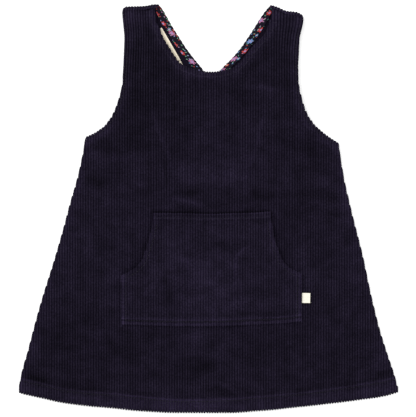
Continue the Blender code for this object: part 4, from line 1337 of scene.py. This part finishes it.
class Strap:
    """One back strap: a flap on the front, a fold at the shoulder, and a long run down."""

    def __init__(self, side, edges, fold_table, fold_curve, flap, slant, lift):
        self.side = side
        self.outer = curve_of(edges, "y", "outer")
        self.neck = curve_of(edges, "y", "neck")
        ends = (fold_table[0].x, fold_table[-1].x)
        self.ends = ends if ends[0] < 0 else ends[::-1]
        self.fold_curve = fold_curve
        self.lift = lift
        self.radius = BED_STRAPS / 2 + WALL / 2
        self.slide = flap - self.radius
        self.turn = 1 if self.ends[0] < 0 else -1
        self.slant = slant * self.turn

    def across(self, share, y):
        return self.outer(y) * (1 - share) + self.neck(y) * share

    def shoulder(self, share):
        x = self.ends[0] + (self.ends[1] - self.ends[0]) * share
        return x, self.fold_curve(x)

    def fold(self, share, angle, above, slide=0.0):
        """Points round the fold: 90 degrees is its top, -90 where the run begins."""
        x, y = self.shoulder(share)
        turn = np.radians(angle)
        reach = self.radius + above
        turned_back = max(turn, 0.0) * self.radius + slide
        under = 1 - np.cos(min(turn, 0.0))
        return (x - self.slant * share * turned_back
                + (self.across(share, y - self.radius) - x) * under,
                y - self.radius + reach * np.cos(turn) - slide,
                self.radius + reach * np.sin(turn))

    def run(self, share, down):
        """Plan place of points down the run."""
        start = self.shoulder(share)[1] - self.radius
        end = back_top_edge(self.across(share, BACK_TOP[2].y)) + SEAM_GAP
        level = start + (end - start) * down
        return self.across(share, level), level


def grid_faces(rows, columns, first, flip):
    """Quads over a grid of points, numbered row by row."""
    i, j = np.meshgrid(np.arange(rows - 1), np.arange(columns - 1), indexing="ij")
    a = first + i * columns + j
    quads = np.stack([a, a + 1, a + columns + 1, a + columns], axis=-1).reshape(-1, 4)
    return (quads[:, ::-1] if flip else quads).tolist()


def shell_faces(rows, columns, flip):
    """Two grids, outer then inner, and the rim that joins them."""
    inner = rows * columns
    outer_faces = grid_faces(rows, columns, 0, flip)
    inner_faces = grid_faces(rows, columns, inner, not flip)
    border = ([*range(columns)]
              + [row * columns + columns - 1 for row in range(1, rows)]
              + [(rows - 1) * columns + place for place in range(columns - 2, -1, -1)]
              + [row * columns for row in range(rows - 2, 0, -1)])
    rim = []
    for a, b in zip(border, border[1:] + border[:1]):
        quad = [b, a, a + inner, b + inner]
        rim.append(quad[::-1] if flip else quad)
    return outer_faces, inner_faces, rim


def build_strap(strap):
    """A back strap's shell, with its wales on the outer side and its woven back inside."""
    shares = np.linspace(0, 1, STRAP_COLUMNS)
    level = np.zeros(STRAP_COLUMNS)
    edge = np.minimum(shares, 1 - shares) * STRAP_WIDTH
    stations = [(90.0, strap.slide * far) for far in np.linspace(1, 0, FLAP_ROWS, endpoint=False)]
    stations += [(angle, 0.0) for angle in np.linspace(90, -90, FOLD_STEPS)]
    fold_tone = curve_of(FOLD_TONES, "angle", "tone")
    outer, inner, uvs, tones = [], [], [], []
    sx, sy = strap.shoulder(shares)
    rib = wale_profile(sx / STRAP_PITCH)
    for angle, slide in stations:
        height = WALE_HEIGHT * rib * (1 + math.sin(math.radians(angle))) / 2
        height += FOLD_SCALLOP * (rib - 0.5) * math.cos(math.radians(angle))
        raised = height - rolled(edge, WALL + height)
        x, y, z = strap.fold(shares, angle, raised, slide)
        outer.append(stacked(x, y, np.maximum(z, 0.0)))
        inner.append(stacked(*strap.fold(shares, angle, level - WALL, slide)))
        turned = strap.slide - slide + strap.radius * math.radians(90 - angle)
        uvs.append(stacked(sx, sy + turned) / STRAP_PITCH)
        tones.append(level + fold_tone(angle))
    for down in np.linspace(0, 1, STRAP_ROWS)[1:]:
        x, y = strap.run(shares, down)
        rib = wale_profile(x / STRAP_PITCH)
        fade = smooth_step(down, 0.0, STRAP_SETTLE)
        lift = strap.lift(y)
        hollow = fade * UNDER_RELIEF * (1 - rib) + rolled(edge, WALL)
        bulge = SCALLOP * (2 * rib - 1) * np.where(edge < MIN_STEP, strap.turn * fade, 0.0)
        x = x + bulge * np.where(shares > 0.5, 1.0, -1.0)
        outer.append(stacked(x, y, lift + np.clip(hollow, 0, STRAP_HOLLOW)))
        inner.append(stacked(x, y, lift + WALL - rolled(edge, STRAP_ROLL * WALL)))
        uvs.append(stacked(x, y) / STRAP_PITCH)
        tones.append(level + FOLD_TONES[0].tone)
    outer_faces, inner_faces, rim = shell_faces(len(outer), STRAP_COLUMNS, strap.turn < 0)
    hidden = [0] * len(outer_faces) + [1] * len(inner_faces) + [0] * len(rim)
    return finished(f"strap_{strap.side}_cloth", np.concatenate(outer + inner),
                    outer_faces + inner_faces + rim, np.concatenate(uvs + uvs), hidden,
                    cloth_materials(), np.concatenate(tones + tones))


def build_facing(strap):
    """Floral cotton along the strap's neck edge, on its inner side, with soft rolled edges."""
    lower_end = BACK_TOP[2].y
    width = abs(strap.neck(lower_end) - strap.outer(lower_end))
    shares = np.linspace(1 - FACING_WIDTH / width, 1 - FACING_INSET / width, FACING_COLUMNS)
    edge = np.minimum(shares - shares[0], shares[-1] - shares) * width
    soft = rolled(edge, FACING_WALL)
    outer, inner, uvs = [], [], []
    top = strap.shoulder(shares)[1]
    reach = -WALL - SEAM_GAP
    for angle in np.linspace(*FACING_FOLD)[:-1]:
        outer.append(stacked(*strap.fold(shares, angle, np.full(FACING_COLUMNS, reach))))
        inner.append(stacked(*strap.fold(shares, angle, reach - FACING_WALL + soft)))
        round_fold = math.radians(angle + 90) * (strap.radius + reach)
        uvs.append(stacked(shares * width, FACING_STRETCH * (top - strap.radius + round_fold)))
    for down in np.linspace(0, FACING_END, FACING_ROWS):
        x, y = strap.run(shares, down)
        base = strap.lift(y) + WALL + SEAM_GAP
        ripple = np.sin(y * 1.1 + 0.7 * np.sin(y * 0.31))
        pucker = PUCKER * ripple * (1 - np.clip(edge / PUCKER_REACH, 0, 1))
        outer.append(stacked(x, y, base))
        inner.append(stacked(x, y, base + FACING_WALL - soft + pucker))
        uvs.append(stacked(shares * width, y * FACING_STRETCH))
    under_faces, top_faces, rim = shell_faces(len(outer), FACING_COLUMNS, strap.turn < 0)
    faces = under_faces + top_faces + rim
    material = shared_material("printed cotton", floral_material, bpy.context.scene.pinafore_print)
    return finished(f"facing_{strap.side}_cloth", np.concatenate(outer + inner), faces,
                    np.concatenate(uvs + uvs) + FACING_CUT[strap.side], [0] * len(faces),
                    [material])


def straps():
    return (Strap("left", STRAP_EDGES_LEFT, FOLD_LEFT, fold_left, FLAP_LEFT, SLANT_LEFT,
                  np.zeros_like),
            Strap("right", STRAP_EDGES_RIGHT, FOLD_RIGHT, fold_right, FLAP_RIGHT, SLANT_RIGHT,
                  lift_curve))


# ---- Labels ---------------------------------------------------------------------------
TAPE_WALL = 0.55
TAPE_BEVEL = 0.16
TAPE_RIPPLE = (0.12, 7.0)     # height of the ripples along a label, and how fast they come
TAPE_AIR = 0.05               # between a label and what it lies on


def deselect_all():
    if bpy.context.object and bpy.context.object.mode != "OBJECT":
        bpy.ops.object.mode_set(mode="OBJECT")
    bpy.ops.object.select_all(action="DESELECT")


def build_tape(row, material):
    """A woven label: a fine grid, curled and thickened, then turned to its place."""
    deselect_all()
    bpy.ops.mesh.primitive_grid_add(x_subdivisions=26, y_subdivisions=12, size=1.0,
                                    location=(0.5, -0.5, 0.0), calc_uvs=True)
    tape = bpy.context.object
    tape.name = tape.data.name = f"{row.name}_tape"
    tape.data.uv_layers[0].name = "cloth"
    bpy.ops.object.transform_apply(location=True, rotation=False, scale=False)
    bpy.ops.object.mode_set(mode="EDIT")
    bpy.ops.mesh.select_all(action="SELECT")
    bpy.ops.transform.resize(value=(row.length * MM, row.width * MM, 1.0),
                             center_override=(0.0, 0.0, 0.0))
    bpy.ops.object.mode_set(mode="OBJECT")
    ripple, pace = TAPE_RIPPLE
    for vertex in tape.data.vertices:
        along_share = vertex.co.x / (row.length * MM)
        across_share = -vertex.co.y / (row.width * MM)
        arch = row.curl * (1 - across_share) ** 2 + ripple * math.sin(pace * along_share)
        vertex.co.z = max(arch, 0.0) * MM
    for loop_uv in tape.data.uv_layers[0].data:
        loop_uv.uv = (loop_uv.uv[0] * row.length, loop_uv.uv[1] * row.width)
    solid = tape.modifiers.new("thickness", "SOLIDIFY")
    solid.thickness = TAPE_WALL * MM
    solid.offset = 1.0
    bpy.ops.object.modifier_apply(modifier=solid.name)
    bevel = tape.modifiers.new("soft edge", "BEVEL")
    bevel.width = TAPE_BEVEL * MM
    bevel.segments = 2
    bevel.limit_method = "ANGLE"
    bpy.ops.object.modifier_apply(modifier=bevel.name)
    bpy.ops.object.shade_smooth_by_angle(angle=math.radians(50))
    tape.rotation_euler = (0.0, 0.0, math.radians(row.angle))
    tape.location = Vector((row.x, row.y, row.base + TAPE_AIR)) * MM
    bpy.ops.object.transform_apply(location=True, rotation=True, scale=True)
    tape.data.materials.append(material)
    return tape


# ---- Stitches -------------------------------------------------------------------------
THREAD_SUNK = 0.75            # share of the wales' height at which the thread lies on them
THREAD_RISE = 0.1             # of its middle over that
POCKET_THREAD_RISE = 0.25
POCKET_DEEPEST = 0.2          # how far the pocket's thread follows a trough
HEM_START = 6.0               # from the side seams to the hem's first stitch
SEAM_TRIM = 4                 # points of a path left bare at each end: neck and armholes
POCKET_TRIM = 6
BAND_TRIM = 3


def stitch_form(sewing):
    """One stitch: a sphere's few faces drawn out into a fat thread, along X."""
    deselect_all()
    bpy.ops.mesh.primitive_uv_sphere_add(segments=sewing.sides, ring_count=4, radius=0.5,
                                         location=(0.0, 0.0, 0.0), rotation=(0.0, math.pi / 2, 0.0))
    form = bpy.context.object
    bpy.ops.object.transform_apply(location=False, rotation=True, scale=False)
    bpy.ops.object.mode_set(mode="EDIT")
    bpy.ops.mesh.select_all(action="SELECT")
    bpy.ops.transform.resize(value=(sewing.length / MM, sewing.thickness / MM,
                                    sewing.thickness / MM), center_override=(0.0, 0.0, 0.0))
    bpy.ops.object.mode_set(mode="OBJECT")
    points = np.array([vertex.co[:] for vertex in form.data.vertices])
    faces = [list(polygon.vertices) for polygon in form.data.polygons]
    bpy.data.objects.remove(form, do_unlink=True)
    return points, faces


def sew(name, rows, material, sewing):
    """Lay stitches along paths: each row is a path in plan and the height of its thread."""
    form, form_faces = stitch_form(sewing)
    points, faces = [], []
    for path, height in rows:
        places, ahead = along(path, (sewing.length + sewing.gap) / MM)
        levels = height(places[:, 0], places[:, 1])
        for (x, y), (ax, ay), z in zip(places, ahead, levels):
            first = len(points) * len(form)
            points.append(stacked(form[:, 0] * ax - form[:, 1] * ay + x,
                                  form[:, 0] * ay + form[:, 1] * ax + y,
                                  form[:, 2] + z))
            faces += [[first + corner for corner in face] for face in form_faces]
    cloud = np.concatenate(points)
    return finished(name, cloud, faces, cloud[:, :2], [0] * len(faces), [material])


def on_front(x, y):
    return front_bed(x, y) + front_rise(x, y) + WALL + THREAD_SUNK * ribs(x) + THREAD_RISE


def on_hem(x, y):
    return on_front(x, y) + HEM_BULK


def on_pocket(x, y):
    crease = np.maximum(creased(x, y, POCKET_CREASES), -POCKET_DEEPEST)
    return pocket_bed(x, y) + crease + WALL + THREAD_SUNK * ribs(x) + POCKET_THREAD_RISE


def on_band(x, y):
    return on_pocket(x, y) + BAND_BULK


# ---- Operators ------------------------------------------------------------------------
FLOOR_SIZE = 12.0             # metres, as all of the stage's lengths but PIXEL
FLOOR_DROP = 0.0002           # below the dress, so that the two don't share a plane
LIGHTS = table(
    "name place power size",
    ("key light", (-1.7, 1.1, 1.5), "key", 1.2),
    ("fill light", (1.9, -0.5, 1.6), "fill", 1.6),
)
PIXEL = 1.2151                # one pixel of the frame on the dress
FRAME_HEIGHT = 417            # pixels
CAMERA_SHIFT = (-0.55, 0.15)  # of the camera from the dress's middle, in pixels
CAMERA_PLANE = 0.003          # height at which a pixel has that size


def dress(piece, nodes):
    """Let a piece ride on the dress's body and stand for its solids."""
    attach(piece, BODY)
    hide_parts(*nodes)
    return piece


class PINAFORE_OT_panels(bpy.types.Operator):
    """Build the front, the back and the kangaroo pocket"""
    bl_idname = "pinafore.panels"
    bl_label = "Panels"

    def execute(self, context):
        front = dress(build_front(), ["front"])
        back = dress(build_back(), ["back"])
        pocket = dress(build_pocket(), ["pocket"])
        return {"FINISHED"}


class PINAFORE_OT_straps(bpy.types.Operator):
    """Build the crossing back straps and their floral facings"""
    bl_idname = "pinafore.straps"
    bl_label = "Straps and facings"

    def execute(self, context):
        for strap in straps():
            cloth = dress(build_strap(strap), [f"strap_{strap.side}"])
            facing = dress(build_facing(strap), [f"facing_{strap.side}"])
        return {"FINISHED"}


class PINAFORE_OT_labels(bpy.types.Operator):
    """Build the blank neck label, care label and side tag"""
    bl_idname = "pinafore.labels"
    bl_label = "Labels"

    def execute(self, context):
        colours = context.scene.pinafore_print
        for row in TAPES:
            shade = colours.tag if row.name == "side_tag" else colours.label
            material = tape_material(f"woven cotton tape, {row.name}", shade)
            tape = dress(build_tape(row, material), [row.name])
        return {"FINISHED"}


class PINAFORE_OT_stitches(bpy.types.Operator):
    """Sew the hem, neck, armholes and pocket"""
    bl_idname = "pinafore.stitches"
    bl_label = "Stitches"

    def execute(self, context):
        sewing = context.scene.pinafore_sewing
        thread = thread_material("spun polyester thread, navy", sewing.thread)
        paths = front_paths()
        pocket = pocket_paths()
        hem = path_over(hem_edge, HEM_START - HALF_HEM, HALF_HEM - HEM_START)
        hem[:, 1] += hem_turn(hem[:, 0]) - HEM_SEWN
        neck = offset_path(paths["neck"], SEAM_LINES[0].inset)[SEAM_TRIM:-SEAM_TRIM]
        arms = [offset_path(paths[name], SEAM_LINES[1].inset)[SEAM_TRIM:-SEAM_TRIM]
                for name in ("armhole left", "armhole right")]
        around = [offset_path(path, POCKET_STITCH)[POCKET_TRIM:-POCKET_TRIM]
                  for name, path in pocket.items() if name != "top"]
        band = pocket["top"][BAND_TRIM:-BAND_TRIM] - np.array([0.0, POCKET_BAND - BAND_STITCH])
        rows = (
            ("hem_stitches", [(hem, on_hem)]),
            ("neck_stitches", [(neck, on_front)]),
            ("armhole_stitches", [(path, on_front) for path in arms]),
            ("pocket_stitches", [(path, on_pocket) for path in around] + [(band, on_band)]),
        )
        for name, stitched in rows:
            made = sew(name, stitched, thread, sewing)
            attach(made, BODY)
        return {"FINISHED"}


class PINAFORE_OT_stage(bpy.types.Operator):
    """Lay the floor, light it softly and set the camera straight above"""
    bl_idname = "pinafore.stage"
    bl_label = "Stage"

    def execute(self, context):
        stage = context.scene.pinafore_stage
        self.lay_floor(stage)
        self.light(context, stage)
        self.aim_camera(context, stage)
        return {"FINISHED"}

    def lay_floor(self, stage):
        """A plain sheet of matt background paper."""
        deselect_all()
        bpy.ops.mesh.primitive_plane_add(size=FLOOR_SIZE, location=(0.0, 0.0, 0.0))
        floor = bpy.context.object
        floor.name = "floor"
        floor.location.z = -FLOOR_DROP
        paper = paper_material("matt background paper", stage.floor, stage.glow)
        floor.data.materials.append(paper)

    def light(self, context, stage):
        """Two broad soft lights low on either side, and an even pale sky."""
        world = bpy.data.worlds.new("even sky")
        world.use_nodes = True
        sky = world.node_tree.nodes["Background"]
        sky.inputs["Color"].default_value = (1.0, 1.0, 1.0, 1.0)
        sky.inputs["Strength"].default_value = stage.sky
        context.scene.world = world
        context.scene.view_settings.view_transform = "Standard"
        for row in LIGHTS:
            lamp = bpy.data.lights.new(row.name, "AREA")
            lamp.energy = getattr(stage, row.power)
            lamp.size = row.size
            holder = bpy.data.objects.new(row.name, lamp)
            holder.location = row.place
            holder.rotation_euler = (-Vector(row.place)).to_track_quat("-Z", "Y").to_euler()
            context.scene.collection.objects.link(holder)

    def aim_camera(self, context, stage):
        """Straight down from above the dress's middle, with the dress filling the frame."""
        pixel = PIXEL * MM
        camera = bpy.data.cameras.new("camera")
        camera.lens = stage.lens
        distance = FRAME_HEIGHT * pixel * camera.lens / camera.sensor_width
        holder = bpy.data.objects.new("camera", camera)
        holder.location = (*(shift * pixel for shift in CAMERA_SHIFT), CAMERA_PLANE + distance)
        holder.rotation_euler = (0.0, 0.0, 0.0)
        context.scene.collection.objects.link(holder)
        context.scene.camera = holder


class PINAFORE_PT_sidebar(bpy.types.Panel):
    """Lists the settings and the buttons that build the pieces in the 3D view's sidebar"""
    bl_idname = "PINAFORE_PT_sidebar"
    bl_label = "Corduroy Pinafore"
    bl_space_type = "VIEW_3D"
    bl_region_type = "UI"
    bl_category = "Pinafore"

    def draw(self, context):
        for owner in SETTINGS:
            settings = getattr(context.scene, owner)
            box = self.layout.box()
            box.label(text=settings.bl_rna.description)
            for name in settings.__annotations__:
                box.prop(settings, name)
        for operator in OPERATORS:
            self.layout.operator(operator.bl_idname)


SETTINGS = {
    "pinafore_cloth": PINAFORE_PG_cloth,
    "pinafore_print": PINAFORE_PG_print,
    "pinafore_sewing": PINAFORE_PG_sewing,
    "pinafore_stage": PINAFORE_PG_stage,
}
OPERATORS = (
    PINAFORE_OT_stage,
    PINAFORE_OT_panels,
    PINAFORE_OT_straps,
    PINAFORE_OT_labels,
    PINAFORE_OT_stitches,
)


def register():
    for name, group in SETTINGS.items():
        bpy.utils.register_class(group)
        setattr(bpy.types.Scene, name, PointerProperty(type=group))
    for operator in OPERATORS:
        bpy.utils.register_class(operator)
    bpy.utils.register_class(PINAFORE_PT_sidebar)


def unregister():
    bpy.utils.unregister_class(PINAFORE_PT_sidebar)
    for operator in reversed(OPERATORS):
        bpy.utils.unregister_class(operator)
    for name, group in SETTINGS.items():
        delattr(bpy.types.Scene, name)
        bpy.utils.unregister_class(group)


def main():
    register()
    bpy.ops.pinafore.stage()
    bpy.ops.pinafore.panels()
    bpy.ops.pinafore.straps()
    bpy.ops.pinafore.labels()
    bpy.ops.pinafore.stitches()


if __name__ == "__main__":
    main()
